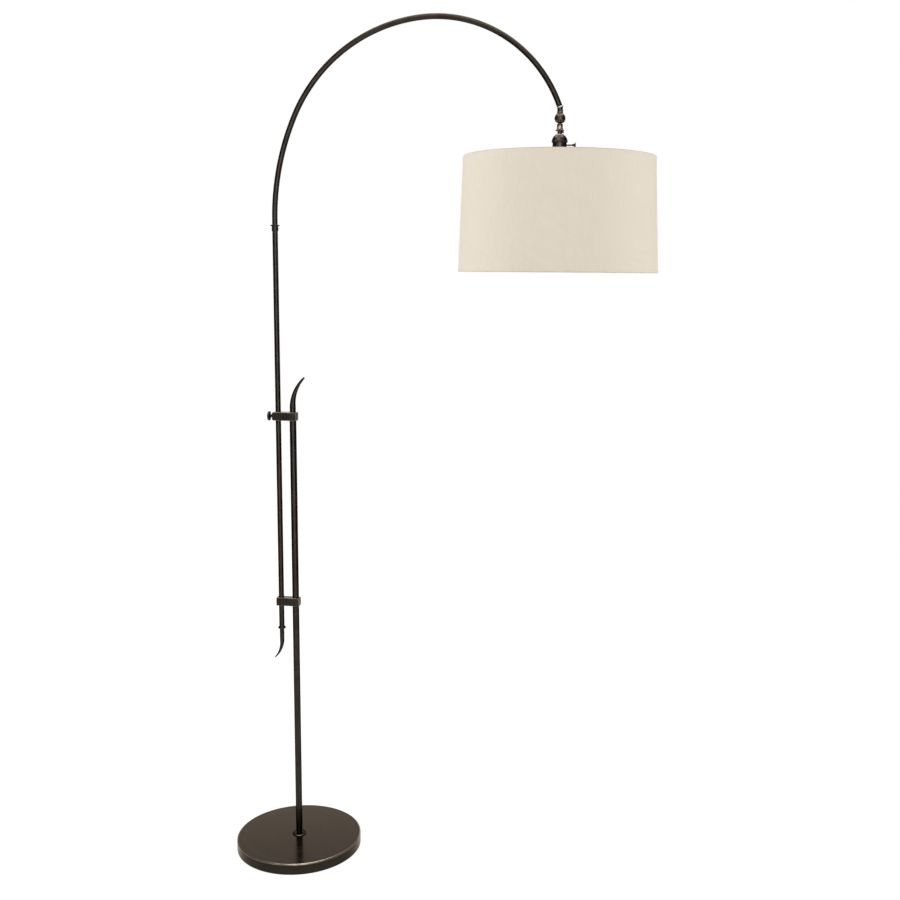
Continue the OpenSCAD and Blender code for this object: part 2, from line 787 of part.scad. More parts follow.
module arch_tube() {
    color(bronze) difference() {
        arch_bar(tube_r, 0);
        arch_bar(tube_bore_r, 1);
    }
}

module tail_bead() {
    color(bronze) translate([-tube_gap, 0, bead_bottom])
        rounded_ring(bead_d / 2, arm_nipple_r + fit_gap, bead_h);
}

module tail_nipple() {
    color(zinc) translate([-tube_gap, 0, bead_bottom - arm_nipple_reach])
        tube(arm_nipple_r, arm_nipple_bore / 2, bead_h + 2 * arm_nipple_reach);
}

module tail_finial() {
    color(bronze) translate([-tube_gap, 0, bead_bottom]) rotate([0, 180, 0]) difference() {
        union() {
            cylinder(d = tail_d, h = tail_foot);
            translate([0, 0, tail_foot]) horn(tail_bend_r, tail_bend, tail_d, tail_tip_d);
        }
        translate([0, 0, -1]) cylinder(r = tail_bore_r, h = tail_bore_depth + 1);
        translate([0, 0, bushing_drop]) rotate([-90, 0, 0])
            cylinder(r = bushing_d / 2 + fit_gap, h = tail_d);
    }
}

module cord_bushing() {
    flange_y = tail_d / 2 + 2 * fit_gap;
    color("black") translate([-tube_gap, 0, bead_bottom - bushing_drop]) rotate([-90, 0, 0])
        difference() {
            union() {
                translate([0, 0, tail_bore_r])
                    cylinder(d = bushing_d, h = flange_y + bushing_flange_t / 2 - tail_bore_r);
                translate([0, 0, flange_y])
                    cylinder(d = bushing_d + 2 * bushing_flange, h = bushing_flange_t);
            }
            cylinder(d = bushing_bore, h = tail_d);
        }
}

module end_ring() {
    color(worn_bronze) at_arch_end() union() {
        rounded_ring(end_ring_d / 2, wireway_d / 2, end_ring_t);
        translate([0, 0, -arm_plug_len / 2]) difference() {
            cylinder(r = tube_bore_r - 2 * fit_gap, h = arm_plug_len / 2 + end_ring_t / 2);
            translate([0, 0, -1]) cylinder(d = wireway_d, h = arm_plug_len + end_ring_t);
        }
    }
}

// Swivel

module swivel_neck() {
    color(bronze) difference() {
        translate([head_x, 0, neck_bottom]) cylinder(r = neck_r, h = neck_len + neck_r);
        at_arch_end() translate([-neck_d, -neck_d, end_ring_t - 3 * neck_d])
            cube([2 * neck_d, 2 * neck_d, 3 * neck_d]);
        translate([head_x, 0, neck_bottom - 1]) cylinder(r = spigot_r + run_gap, h = 2 * neck_len);
        translate([head_x, 0, neck_bottom + clip_shoulder])
            cylinder(r = clip_out_r + clear_gap, h = 2 * neck_len);
    }
}

// The slot in the ball that the stem tilts in. Its sides stand a little inside its round ends,
// so that no two faces are tangent.
module stem_slot() {
    far = ball_r * 2;
    side = slot_r - slot_ease;
    translate([0, side, 0]) rotate([90, 0, 0]) linear_extrude(2 * side) polygon([
        [0, 0], [-far * sin(tilt_limit), -far * cos(tilt_limit)],
        [0, -far], [far * sin(tilt_limit), -far * cos(tilt_limit)]
    ]);
    for (a = [-tilt_limit, tilt_limit]) rotate([0, 180 + a, 0]) cylinder(r = slot_r, h = far);
}

module swivel_ball() {
    top = collar_top - ball_z;
    color(bronze) translate([head_x, 0, ball_z]) difference() {
        union() {
            sphere(ball_r);
            cylinder(r = neck_r, h = top);
            translate([0, 0, top]) cylinder(r = spigot_r, h = clear_gap + spigot_len);
        }
        sphere(cavity_r);
        cylinder(d = wireway_d, h = 2 * ball_d);
        rotate([-90, 0, 0]) cylinder(r = cover_r, h = ball_d);
        rotate([90, 0, 0]) cylinder(r = pin_r + fit_gap, h = ball_d);
        stem_slot();
        translate([0, 0, clip_z - ball_z]) tube(spigot_d, spigot_r - clip_groove, clip_t + fit_gap);
    }
}

module swivel_cover() {
    color(bronze) translate([head_x, 0, ball_z]) difference() {
        intersection() {
            sphere(ball_r);
            rotate([-90, 0, 0]) cylinder(r = cover_r - fit_gap, h = ball_d);
        }
        sphere(cavity_r);
        rotate([-90, 0, 0]) cylinder(r = pin_r + fit_gap, h = ball_d);
        stem_slot();
    }
}

module swivel_clip() {
    color(zinc) translate([head_x, 0, clip_z])
        tube(clip_out_r, spigot_r - clip_groove + fit_gap, clip_t);
}

module tilt_pins() {
    color(zinc) for (side = [-1, 1]) translate([head_x, 0, ball_z]) rotate([-90 * side, 0, 0])
        translate([0, 0, pin_inner]) cylinder(r = pin_r, h = pin_outer - pin_inner);
}

module swivel_knuckle() {
    stem_bottom = cap_hub_bottom - ball_z;
    flat = knuckle_r / 2;
    color(worn_bronze) translate([head_x, 0, ball_z]) difference() {
        union() {
            sphere(knuckle_r);
            translate([0, 0, stem_bottom]) cylinder(r = stem_r, h = -stem_bottom);
        }
        translate([0, 0, stem_bottom - 1]) cylinder(d = wireway_d, h = ball_d - stem_bottom);
        translate([-ball_r, -ball_r, flat]) cube([ball_d, ball_d, ball_d]);
        for (side = [-1, 1]) rotate([-90 * side, 0, 0])
            translate([0, 0, pin_inner - clear_gap]) cylinder(r = pin_r + run_gap, h = ball_d);
    }
}

module swivel_bell() {
    flare_h = bell_h - bell_neck - bell_lip;
    flare = (bell_d - bell_top_d) / 2;
    steps = 10;
    color(worn_bronze) translate([head_x, 0, bell_bottom]) difference() {
        rotate_extrude() polygon(concat(
            [[0, 0], [bell_d / 2, 0], [bell_d / 2, bell_lip]],
            [for (i = [0 : steps]) let (a = 90 * i / steps)
                [bell_d / 2 - flare * sin(a), bell_lip + flare_h * (1 - cos(a))]],
            [[bell_top_d / 2, bell_h], [0, bell_h]]
        ));
        translate([0, 0, -1]) cylinder(r = stem_r + fit_gap, h = bell_h + 2);
    }
}

module lock_collar() {
    color(bronze) translate([head_x, 0, lock_bottom]) difference() {
        tube(lock_d / 2, stem_r + fit_gap, lock_h);
        translate([0, 0, lock_screw_z - lock_bottom]) rotate([0, 90, 0])
            cylinder(r = lock_screw_d / 2 + fit_gap, h = lock_d);
    }
}

module lock_screw() {
    color(worn_bronze) translate([head_x, 0, lock_screw_z]) rotate([0, 90, 0]) union() {
        translate([0, 0, stem_r + fit_gap]) cylinder(d = lock_screw_d, h = lock_d / 2 - stem_r);
        translate([0, 0, lock_d / 2]) cylinder(d = lock_head_d, h = lock_head_len);
    }
}

// Socket

module socket_cap() {
    color(bronze) translate([head_x, 0, 0]) difference() {
        union() {
            intersection() {
                translate([0, 0, dome_z]) sphere(dome_r);
                translate([0, 0, bead_z]) cylinder(r = dome_r + 1, h = plate_bottom - bead_z);
            }
            translate([0, 0, plate_bottom]) cylinder(d = plate_d, h = plate_t);
            translate([0, 0, bead_z - cap_bead_h / 2])
                rounded_ring(cap_bead_d / 2, shell_r - shell_wall, cap_bead_h);
        }
        difference() {
            translate([0, 0, dome_z]) sphere(dome_in_r);
            translate([0, 0, cap_hub_bottom]) cylinder(r = stem_r + cap_hub_wall, h = 2 * dome_r);
            translate([0, 0, dome_z - 2 * dome_r]) cylinder(r = 2 * dome_r, h = 2 * dome_r);
        }
        translate([0, 0, bead_z - cap_bead_h]) cylinder(r = shell_r + fit_gap, h = cap_bead_h + 0.01);
        translate([0, 0, cap_hub_bottom - 1]) cylinder(r = stem_r + fit_gap, h = dome_r * 2);
    }
}

module socket_shell() {
    thread_h = fitter_top - shell_bottom;
    color(bronze) translate([head_x, 0, 0]) difference() {
        union() {
            translate([0, 0, shell_bottom]) cylinder(r = shell_r, h = shell_len);
            translate([0, 0, shell_bottom]) cylinder(r = thread_r, h = thread_h);
            translate([0, 0, fitter_top]) cylinder(d = flange_d, h = flange_t);
        }
        translate([0, 0, shell_bottom - 1]) cylinder(r = shell_in_r, h = shell_len + 2);
        translate([0, 0, key_z]) rotate([0, 90, 0]) cylinder(r = key_hole_r, h = shell_d);
    }
}

module socket_liner() {
    bottom = shell_bottom + liner_foot;
    color("peru") translate([head_x, 0, 0]) difference() {
        translate([0, 0, bottom]) tube(liner_r, liner_r - liner_t, shell_top - liner_head - bottom);
        translate([0, 0, key_z]) rotate([0, 90, 0]) cylinder(r = key_hole_r, h = shell_d);
    }
}

module switch_body() {
    color("dimgray") translate([head_x, 0, 0]) difference() {
        translate([0, 0, switch_bottom]) cylinder(r = switch_r, h = switch_top - switch_bottom);
        translate([0, 0, key_z]) rotate([0, 90, 0])
            cylinder(r = key_shaft_d / 2 + run_gap, h = shell_d);
        translate([0, 0, switch_top - switch_recess])
            cylinder(d = switch_recess_d, h = switch_recess + 1);
    }
}

module screw_shell() {
    out_r = screw_shell_in_r + screw_shell_t;
    bottom = shell_bottom + screw_shell_foot;
    color(brass) translate([head_x, 0, 0]) difference() {
        translate([0, 0, bottom]) cylinder(r = out_r, h = switch_bottom - bottom);
        translate([0, 0, bottom - 1])
            cylinder(r = screw_shell_in_r, h = switch_bottom - bottom + 1 - screw_shell_t);
        translate([0, 0, switch_bottom - 2 * screw_shell_t])
            cylinder(d = screw_shell_hole_d, h = 4 * screw_shell_t);
    }
}

module centre_contact() {
    color(brass) translate([head_x, 0, contact_z - contact_t]) union() {
        cylinder(d = contact_d, h = contact_t);
        translate([0, 0, contact_t / 2])
            cylinder(d = contact_pin_d, h = switch_bottom - contact_z + contact_t / 2);
    }
}

module key_shaft() {
    color(brass) translate([head_x + key_start, 0, key_z]) rotate([0, 90, 0])
        cylinder(d = key_shaft_d, h = key_reach - blade_len - key_start);
}

// The blade flares from the shaft in two curves, and its outer end is slightly crowned
module turn_key() {
    steps = 8;
    flare = [
        for (i = [0 : steps]) let (a = 90 * i / steps)
            [(blade_len - blade_crown) * sin(a),
             blade_root_h / 2 + (blade_h - blade_root_h) / 2 * (1 - cos(a))]
    ];
    back = [for (i = [0 : steps]) [flare[steps - i][0], -flare[steps - i][1]]];
    edge = [for (i = [1 : steps - 1]) let (y = blade_h / 2 * (1 - 2 * i / steps))
        [blade_len - blade_crown * pow(2 * y / blade_h, 2), y]];
    color(worn_bronze) translate([head_x + key_reach - blade_len, blade_t / 2, key_z])
        rotate([90, 0, 0]) linear_extrude(blade_t) polygon(concat(flare, edge, back));
}

// Shade

module ring_nut() {
    color(bronze) translate([head_x, 0, fitter_bottom - ring_nut_h])
        tube(ring_nut_d / 2, thread_r + fit_gap, ring_nut_h);
}

module fitter_hub() {
    color(worn_bronze) translate([head_x, 0, fitter_bottom])
        tube(fitter_d / 2, thread_r + 2 * fit_gap, fitter_t);
}

module spider_arms() {
    start = fitter_d / 2 + arm_end_gap;
    end = top_wire_r - wire_r - arm_end_gap;
    slope = atan((top_wire_z - arm_z) / (end - start));
    color(worn_bronze) for (a = [60, 180, 300]) translate([head_x, 0, arm_z]) rotate([0, 0, a])
        translate([start, 0, 0]) rotate([0, 90 - slope, 0])
            cylinder(d = arm_wire_d, h = (end - start) / cos(slope));
}

module wire_ring(r, z) {
    translate([head_x, 0, z]) rotate_extrude() translate([r, 0]) circle(wire_r);
}

module top_wire() {
    color(worn_bronze) wire_ring(top_wire_r, top_wire_z);
}

module bottom_wire() {
    color(worn_bronze) wire_ring(bottom_wire_r, bottom_wire_z);
}

// A conical layer between two insets from the shade's outline
module shade_layer(outer, inner) {
    translate([head_x, 0, 0]) rotate_extrude() polygon([
        [shade_r(shade_top) - outer, shade_top], [shade_r(shade_bottom) - outer, shade_bottom],
        [shade_r(shade_bottom) - inner, shade_bottom], [shade_r(shade_top) - inner, shade_top]
    ]);
}

module shade_lining() {
    color("white") shade_layer(cloth_inset + fit_gap, cloth_inset + lining_t);
}

module shade_linen() {
    color(linen) union() {
        shade_layer(hem_t, cloth_inset);
        for (z = [shade_top - hem_h, shade_bottom])
            translate([head_x, 0, 0]) rotate_extrude() polygon([
                [shade_r(z), z], [shade_r(z + hem_h), z + hem_h],
                [shade_r(z + hem_h) - cloth_inset, z + hem_h], [shade_r(z) - cloth_inset, z]
            ]);
    }
}

// Bulb

module bulb_contact() {
    color(zinc) translate([head_x, 0, bulb_cap_top]) cylinder(d = tip_d, h = tip_t);
}

module bulb_cap() {
    r = bulb_cap_d / 2;
    color(brass) translate([head_x, 0, bulb_cap_bottom]) rotate_extrude() polygon([
        [0, 0], [r, 0], [r, bulb_cap_len - bulb_shoulder_h],
        [bulb_land_d / 2, bulb_cap_len], [0, bulb_cap_len]
    ]);
}

// The globe's outline: a sphere, and a cone that runs from the cap on to it
module bulb_form(inset) {
    r = globe_r - inset;
    top_z = bulb_cap_bottom + (inset > 0 ? 1 : 0);
    join_a = 25;
    translate([0, 0, globe_z]) sphere(r);
    rotate_extrude() polygon([
        [0, top_z], [bulb_cap_d / 2 - inset, top_z],
        [r * cos(join_a), globe_z + r * sin(join_a)], [0, globe_z]
    ]);
}

module bulb_globe() {
    color("white") translate([head_x, 0, 0]) difference() {
        bulb_form(0);
        bulb_form(glass_t);
    }
}

base_cover();
base_weight();
base_felt();
base_stud();
base_washer();
base_nut();
pole_collar();
lower_pole();
upper_pole();
pole_plugs();
mid_nipple();
top_nipple();
lower_bracket();
upper_bracket();
pole_finial();
lower_liner();
upper_liner();
screw_pad();
thumb_screw();
slide_tube();
arm_plugs();
coupling_collar();
coupling_ring();
coupling_nipple();
arch_tube();
tail_bead();
tail_nipple();
tail_finial();
cord_bushing();
end_ring();
swivel_neck();
swivel_ball();
swivel_cover();
swivel_clip();
tilt_pins();
swivel_knuckle();
swivel_bell();
lock_collar();
lock_screw();
socket_cap();
socket_shell();
socket_liner();
switch_body();
screw_shell();
centre_contact();
key_shaft();
turn_key();
ring_nut();
fitter_hub();
spider_arms();
top_wire();
bottom_wire();
shade_lining();
shade_linen();
bulb_contact();
bulb_cap();
bulb_globe();
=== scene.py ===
import math

import bmesh
import bpy
from mathutils import Matrix, Vector


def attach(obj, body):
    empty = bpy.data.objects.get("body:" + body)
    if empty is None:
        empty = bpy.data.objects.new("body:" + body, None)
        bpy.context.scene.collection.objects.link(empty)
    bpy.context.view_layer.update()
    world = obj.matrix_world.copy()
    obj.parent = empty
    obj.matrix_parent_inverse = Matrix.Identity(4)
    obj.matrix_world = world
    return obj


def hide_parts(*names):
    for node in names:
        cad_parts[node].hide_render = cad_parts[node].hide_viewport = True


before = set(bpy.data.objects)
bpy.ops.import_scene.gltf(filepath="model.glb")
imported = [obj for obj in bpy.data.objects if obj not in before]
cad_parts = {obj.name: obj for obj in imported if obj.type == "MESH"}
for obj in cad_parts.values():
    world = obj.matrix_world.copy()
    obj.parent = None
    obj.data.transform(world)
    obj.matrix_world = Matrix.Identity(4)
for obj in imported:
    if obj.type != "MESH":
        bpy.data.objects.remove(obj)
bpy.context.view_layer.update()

MM = 0.001

# Base and columns
BASE_R, BASE_TOP, FELT_T = 152.5, 28.0, 1.5
COVER_T, RIM_R, STUD_HOLE_R = 1.5, 3.0, 4.9
POLE_R, POLE_WALL = 7.95, 1.5
TUBE_R, TUBE_WALL, TUBE_X = 6.35, 1.2, -36.0
BAR_H, BAR_W = 20.0, 19.0
LOWER_Z, UPPER_Z = 617.0, 1071.0
LINER_R = 7.61
SCREW_Z = UPPER_Z + BAR_H / 2

# Arm, with the radius and the angle of each bend of its arch
BEAD_BOTTOM, BEAD_TOP = 557.6, 563.0
TUBE_TOP, RING_TOP = 1527.0, 1529.6
ARCH_Z = 1541.6
BENDS = [(565.0, 24.5), (362.0, 60.5), (303.0, 75.0)]


def outward(turn):
    """The way from a bend's centre to the arch, after so many degrees of turn."""
    return Vector((-math.cos(math.radians(turn)), 0, math.sin(math.radians(turn))))


# Centres of the arch's bends, and the point and the turn that it ends with
bend_centres = []
arch_end, turn = Vector((TUBE_X, 0, ARCH_Z)), 0.0
for bend_r, bend_angle in BENDS:
    bend_centres.append(arch_end - outward(turn) * bend_r)
    turn += bend_angle
    arch_end = bend_centres[-1] + outward(turn) * bend_r
arch_way = Vector((math.sin(math.radians(turn)), 0, math.cos(math.radians(turn))))

# Swivel and lamp holder
END_RING_T = 2.4
HEAD_X = (arch_end + arch_way * END_RING_T).x
RING_FACE_Z = (arch_end + arch_way * END_RING_T).z
NECK_BOTTOM = RING_FACE_Z - 8.6
BALL_R = 12.2
BALL_Z = NECK_BOTTOM - 0.3 - 1.4 - BALL_R
BELL_TOP = BALL_Z - BALL_R - 0.3
BELL_BOTTOM = BELL_TOP - 14.8
CAP_TOP = BELL_BOTTOM - 7.0
PLATE_R, DOME_R, DOME_INNER_R = 9.5, 17.7, 16.5
DOME_Z = CAP_TOP - 1.5 - math.sqrt(DOME_R ** 2 - PLATE_R ** 2)
KEY_Z = CAP_TOP - 23.9
SHELL_R = 15.7
SHELL_TOP = DOME_Z + math.sqrt(DOME_INNER_R ** 2 - SHELL_R ** 2) - 0.3
SHELL_BOTTOM = SHELL_TOP - 56.0
SHELL_GROOVE = 1682.0
NUT_BOTTOM = SHELL_BOTTOM + 1.4
HUB_BOTTOM = NUT_BOTTOM + 6.0
HUB_TOP = HUB_BOTTOM + 2.4
HUB_Z = (HUB_TOP + HUB_BOTTOM) / 2

# Shade and bulb
SHADE_TOP = HUB_TOP + 8.0
SHADE_H = 254.0
SHADE_BOTTOM = SHADE_TOP - SHADE_H
SHADE_BOTTOM_R, SHADE_TAPER = 225.0, 10.0
HEM_H, CLOTH_T = 6.0, 0.7
CLOTH_OUT, LINING_OUT, LINING_IN = 0.6, 1.35, 2.1
WIRE_R = 1.5
BULB_CAP_TOP = KEY_Z - 22 - 2.6 - 0.5 - 1.6
BULB_CAP_BOTTOM = BULB_CAP_TOP - 21.0
GLOBE_R = 30.0
GLOBE_Z = BULB_CAP_BOTTOM - 93.0 + GLOBE_R


def shade_r(z):
    """Radius of the shade's outline. The cloth and the lining are set in from it."""
    return SHADE_BOTTOM_R - SHADE_TAPER * (z - SHADE_BOTTOM) / SHADE_H


# Shaping


def let_go():
    """Back to object mode with nothing selected."""
    if bpy.context.object and bpy.context.object.mode != "OBJECT":
        bpy.ops.object.mode_set(mode="OBJECT")
    bpy.ops.object.select_all(action="DESELECT")


def open_up(action="DESELECT"):
    """Edit mode on the piece in hand, by its points, with all or nothing selected."""
    bpy.ops.object.mode_set(mode="EDIT")
    bpy.ops.mesh.select_mode(type="VERT")
    bpy.ops.mesh.select_all(action=action)


def take_up(piece):
    """Takes a piece in hand, in edit mode."""
    let_go()
    piece.select_set(True)
    bpy.context.view_layer.objects.active = piece
    open_up()


def pick(kind, test):
    """Selects the vertices, edges or faces of the piece in hand that pass the test."""
    bpy.ops.mesh.select_mode(type=kind)
    bpy.ops.mesh.select_all(action="DESELECT")
    mesh = bmesh.from_edit_mesh(bpy.context.object.data)
    items = {"VERT": mesh.verts, "EDGE": mesh.edges, "FACE": mesh.faces}[kind]
    for item in items:
        item.select_set(bool(test(item)))
    mesh.select_flush_mode()
    bmesh.update_edit_mesh(bpy.context.object.data)


def named(name):
    """Names the new primitive and its mesh."""
    piece = bpy.context.object
    piece.name = piece.data.name = name
    return piece


def close_up():
    """Merges doubled points and turns the faces outwards, then leaves edit mode."""
    bpy.ops.mesh.select_mode(type="VERT")
    bpy.ops.mesh.select_all(action="SELECT")
    bpy.ops.mesh.remove_doubles(threshold=2e-6)
    bpy.ops.mesh.normals_make_consistent(inside=False)
    bpy.ops.object.mode_set(mode="OBJECT")


def modify(piece, kind, **settings):
    """Adds a modifier to a piece and applies it."""
    let_go()
    piece.select_set(True)
    bpy.context.view_layer.objects.active = piece
    bpy.ops.object.modifier_add(type=kind)
    modifier = piece.modifiers[-1]
    for key, value in settings.items():
        setattr(modifier, key, value)
    bpy.ops.object.modifier_apply(modifier=modifier.name)


def ease_edges(piece, width, segments=3, angle=32):
    modify(piece, "BEVEL", width=width * MM, segments=segments, limit_method="ANGLE",
           angle_limit=math.radians(angle))


def turned(name, outline, foot=(0, 0, 0), along=(0, 0, 1), steps=96, ring=False):
    """A piece turned on a lathe: its outline of (radius, height) is drawn out and spun."""
    foot, along = Vector(foot) * MM, Vector(along).normalized()
    side = Vector((0, -1, 0))
    points = [foot + side * (r * MM) + along * (h * MM) for r, h in outline]
    if ring:
        points.append(points[0])
    let_go()
    bpy.ops.mesh.primitive_plane_add(size=1 * MM, location=points[0])
    piece = named(name)
    open_up("SELECT")
    bpy.ops.mesh.merge(type="CENTER")
    for a, b in zip(points, points[1:]):
        bpy.ops.mesh.extrude_region_move(TRANSFORM_OT_translate={"value": b - a})
    bpy.ops.mesh.select_all(action="SELECT")
    bpy.ops.mesh.spin(steps=steps, angle=2 * math.pi, center=foot, axis=along)
    close_up()
    return piece


def rounded(x, z, r, a0, a1, steps=5):
    """Points of a rounded corner round (x, z), for an outline."""
    turns = [math.radians(a0 + (a1 - a0) * i / steps) for i in range(steps + 1)]
    return [(x + r * math.cos(t), z + r * math.sin(t)) for t in turns]


def pipe_outline(r, wall, z0, z1, ease=0.35):
    """A pipe with eased ends."""
    return [(r - wall, z0 + ease), (r - wall + ease, z0), (r - ease, z0), (r, z0 + ease),
            (r, z1 - ease), (r - ease, z1), (r - wall + ease, z1), (r - wall, z1 - ease)]


def rim_outline(r, bore, z, h):
    """A flat ring whose rim is a half round."""
    return [(bore, z)] + rounded(r - h / 2, z + h / 2, h / 2, -90, 90, 10) + [(bore, z + h)]


def knurl(piece, test, inset, depth):
    """Sinks each face that passes the test, for grip. Places are from the outline's first point."""
    take_up(piece)
    pick("FACE", test)
    bpy.ops.mesh.inset(thickness=inset * MM, depth=-depth * MM, use_individual=True)
    bpy.ops.object.mode_set(mode="OBJECT")


NARROW = 1.3


def stands_out(face, angle):
    """Whether a face is narrow and lies along an outward edge."""
    area = face.calc_area()
    return any(area < NARROW * MM * edge.calc_length() for edge in face.edges
               if len(edge.link_faces) == 2 and edge.calc_face_angle_signed() > math.radians(angle))


def mark_wear(piece, angle):
    """Marks the faces that a hand or a cloth rubs bright."""
    mesh = bmesh.new()
    mesh.from_mesh(piece.data)
    values = [float(stands_out(face, angle)) for face in mesh.faces]
    mesh.free()
    wear = piece.data.attributes.new("wear", "FLOAT", "FACE")
    wear.data.foreach_set("value", values)


def dress(piece, material, body, slot, *nodes, smooth=38, edge=20):
    """Gives a finished piece its material, its place at the origin and its body."""
    let_go()
    piece.select_set(True)
    bpy.context.view_layer.objects.active = piece
    bpy.ops.object.transform_apply(location=True, rotation=True, scale=True)
    bpy.ops.object.shade_smooth_by_angle(angle=math.radians(smooth))
    piece.data.materials.clear()
    piece.data.materials.append(material)
    mark_wear(piece, edge)
    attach(piece, body)
    if nodes:
        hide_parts(*nodes)
    return piece


# Finishes


def new_finish(name):
    material = bpy.data.materials.new(name)
    material.use_nodes = True
    return material, material.node_tree, material.node_tree.nodes["Principled BSDF"]


def add(tree, kind, feeds=None, **settings):
    """A node of a finish. Feeds are other nodes' sockets, or plain values."""
    node = tree.nodes.new("ShaderNode" + kind)
    for key, value in settings.items():
        setattr(node, key, value)
    for key, value in (feeds or {}).items():
        if isinstance(value, bpy.types.NodeSocket):
            tree.links.new(value, node.inputs[key])
        else:
            node.inputs[key].default_value = value
    return node


def maths(tree, operation, a, b=0.0, clamp=False):
    return add(tree, "Math", {0: a, 1: b}, operation=operation, use_clamp=clamp).outputs[0]


def spread(tree, value, low, high, to_low=0.0, to_high=1.0):
    """Maps low to high onto another range, and holds the ends."""
    return add(tree, "MapRange", {"Value": value, "From Min": low, "From Max": high,
                                  "To Min": to_low, "To Max": to_high}).outputs[0]


def noise(tree, where, scale, detail=3.0, rough=0.5, warp=0.0):
    return add(tree, "TexNoise", {"Vector": where, "Scale": scale, "Detail": detail,
                                  "Roughness": rough, "Distortion": warp}).outputs["Fac"]


def mixed(tree, share, a, b):
    node = add(tree, "Mix", data_type="RGBA")
    for key, value in ((0, share), (6, a), (7, b)):
        if isinstance(value, bpy.types.NodeSocket):
            tree.links.new(value, node.inputs[key])
        else:
            node.inputs[key].default_value = value
    return node.outputs[2]


def stretched(tree, where, scale):
    return add(tree, "Mapping", {"Vector": where, "Scale": scale}).outputs[0]


def colour(r, g, b):
    """An sRGB colour of 0 to 255 as the linear value that a shader takes."""
    parts = [v / 255 for v in (r, g, b)]
    return tuple(p / 12.92 if p < 0.04045 else ((p + 0.055) / 1.055) ** 2.4 for p in parts) + (1.0,)


def bronze_finish(name, ground, warm, rub_and_highlight, rough, rub_share=0.6, mottle=0.6, grain=(60, 60, 6),
                  patches=(0.36, 0.58), spun=False, rim=(0.4, 0.42, 0.44), painted_highlight_bands=()):
    """Dark patinated bronze: mottled ground, fine grain, and edges that are rubbed bright. Rim is the gloss
    left at a glance,
    and the bands are painted highlight: zones all round, as (height, share), painted towards the rub colour."""
    material, tree, shader = new_finish(name)
    where = add(tree, "TexCoord").outputs["Object"]
    cloud = spread(tree, noise(tree, where, 30, 5, 0.62, 0.3), 0.38, 0.66)
    fine = noise(tree, where, 900, 3, 0.6)
    drawn = noise(tree, stretched(tree, where, grain), 20, 4, 0.55)
    tone = mixed(tree, maths(tree, "MULTIPLY", cloud, mottle), ground, warm)
    tone = mixed(tree, spread(tree, drawn, 0.35, 0.75, 0.0, 0.06), tone, rub_and_highlight)
    relief = maths(tree, "ADD", maths(tree, "MULTIPLY", drawn, 0.5), maths(tree, "MULTIPLY", fine, 0.5))
    if spun:
        split = add(tree, "SeparateXYZ", {"Vector": where})
        flat = add(tree, "CombineXYZ", {"X": split.outputs["X"], "Y": split.outputs["Y"]})
        radius = add(tree, "VectorMath", {0: flat.outputs[0]}, operation="LENGTH").outputs["Value"]
        line = add(tree, "CombineXYZ", {"X": radius, "Y": maths(tree, "MULTIPLY", split.outputs["Z"], 0.2)})
        lines = noise(tree, line.outputs[0], 1500, 2, 0.7)
        relief = maths(tree, "ADD", relief, maths(tree, "MULTIPLY", lines, 0.5))
        tone = mixed(tree, spread(tree, lines, 0.3, 0.8, 0.0, 0.05), tone, rub_and_highlight)
    wear = add(tree, "Attribute", attribute_name="wear").outputs["Fac"]
    patchy = spread(tree, noise(tree, where, 70, 4, 0.65), *patches)
    rubbed = maths(tree, "MULTIPLY", maths(tree, "MULTIPLY", wear, patchy), rub_share)
    tone = mixed(tree, rubbed, tone, rub_and_highlight)
    # Painted highlight: zones by height are mixed towards the rub colour, all round the piece.
    if painted_highlight_bands:
        height = add(tree, "SeparateXYZ", {"Vector": where}).outputs["Z"]
        low, high = painted_highlight_bands[0][0] * MM, painted_highlight_bands[-1][0] * MM
        ramp = add(tree, "ValToRGB", {"Fac": spread(tree, height, low, high)})
        for i, (at, share) in enumerate(painted_highlight_bands):
            place = (at * MM - low) / (high - low)
            stop = ramp.color_ramp.elements[i] if i < 2 else ramp.color_ramp.elements.new(place)
            stop.position, stop.color = place, (share, share, share, 1)
        tone = mixed(tree, ramp.outputs["Color"], tone, rub_and_highlight)
    tree.links.new(tone, shader.inputs["Base Color"])
    roughness = maths(tree, "ADD", spread(tree, cloud, 0, 1, rough - 0.03, rough + 0.05),
                      spread(tree, fine, 0.3, 0.7, -0.02, 0.03))
    tree.links.new(roughness, shader.inputs["Roughness"])
    bump = add(tree, "Bump", {"Height": relief, "Strength": 0.1, "Distance": 0.0002})
    tree.links.new(bump.outputs[0], shader.inputs["Normal"])
    shader.inputs["Metallic"].default_value = 1.0
    shader.inputs["Specular Tint"].default_value = (*rim, 1)
    return material


def metal_finish(name, ground, shade, rough, metallic=1.0, grain=(40, 40, 6)):
    """Plain metal of an inner or small piece, with drawn grain and a dull bloom."""
    material, tree, shader = new_finish(name)
    where = add(tree, "TexCoord").outputs["Object"]
    drawn = noise(tree, stretched(tree, where, grain), 25, 4, 0.6)
    cloud = noise(tree, where, 60, 4, 0.6)
    tree.links.new(mixed(tree, spread(tree, maths(tree, "ADD", drawn, cloud), 0.75, 1.3), ground, shade),
                   shader.inputs["Base Color"])
    tree.links.new(spread(tree, cloud, 0.3, 0.7, rough - 0.06, rough + 0.08), shader.inputs["Roughness"])
    bump = add(tree, "Bump", {"Height": drawn, "Strength": 0.15, "Distance": 0.0002})
    tree.links.new(bump.outputs[0], shader.inputs["Normal"])
    shader.inputs["Metallic"].default_value = metallic
    return material


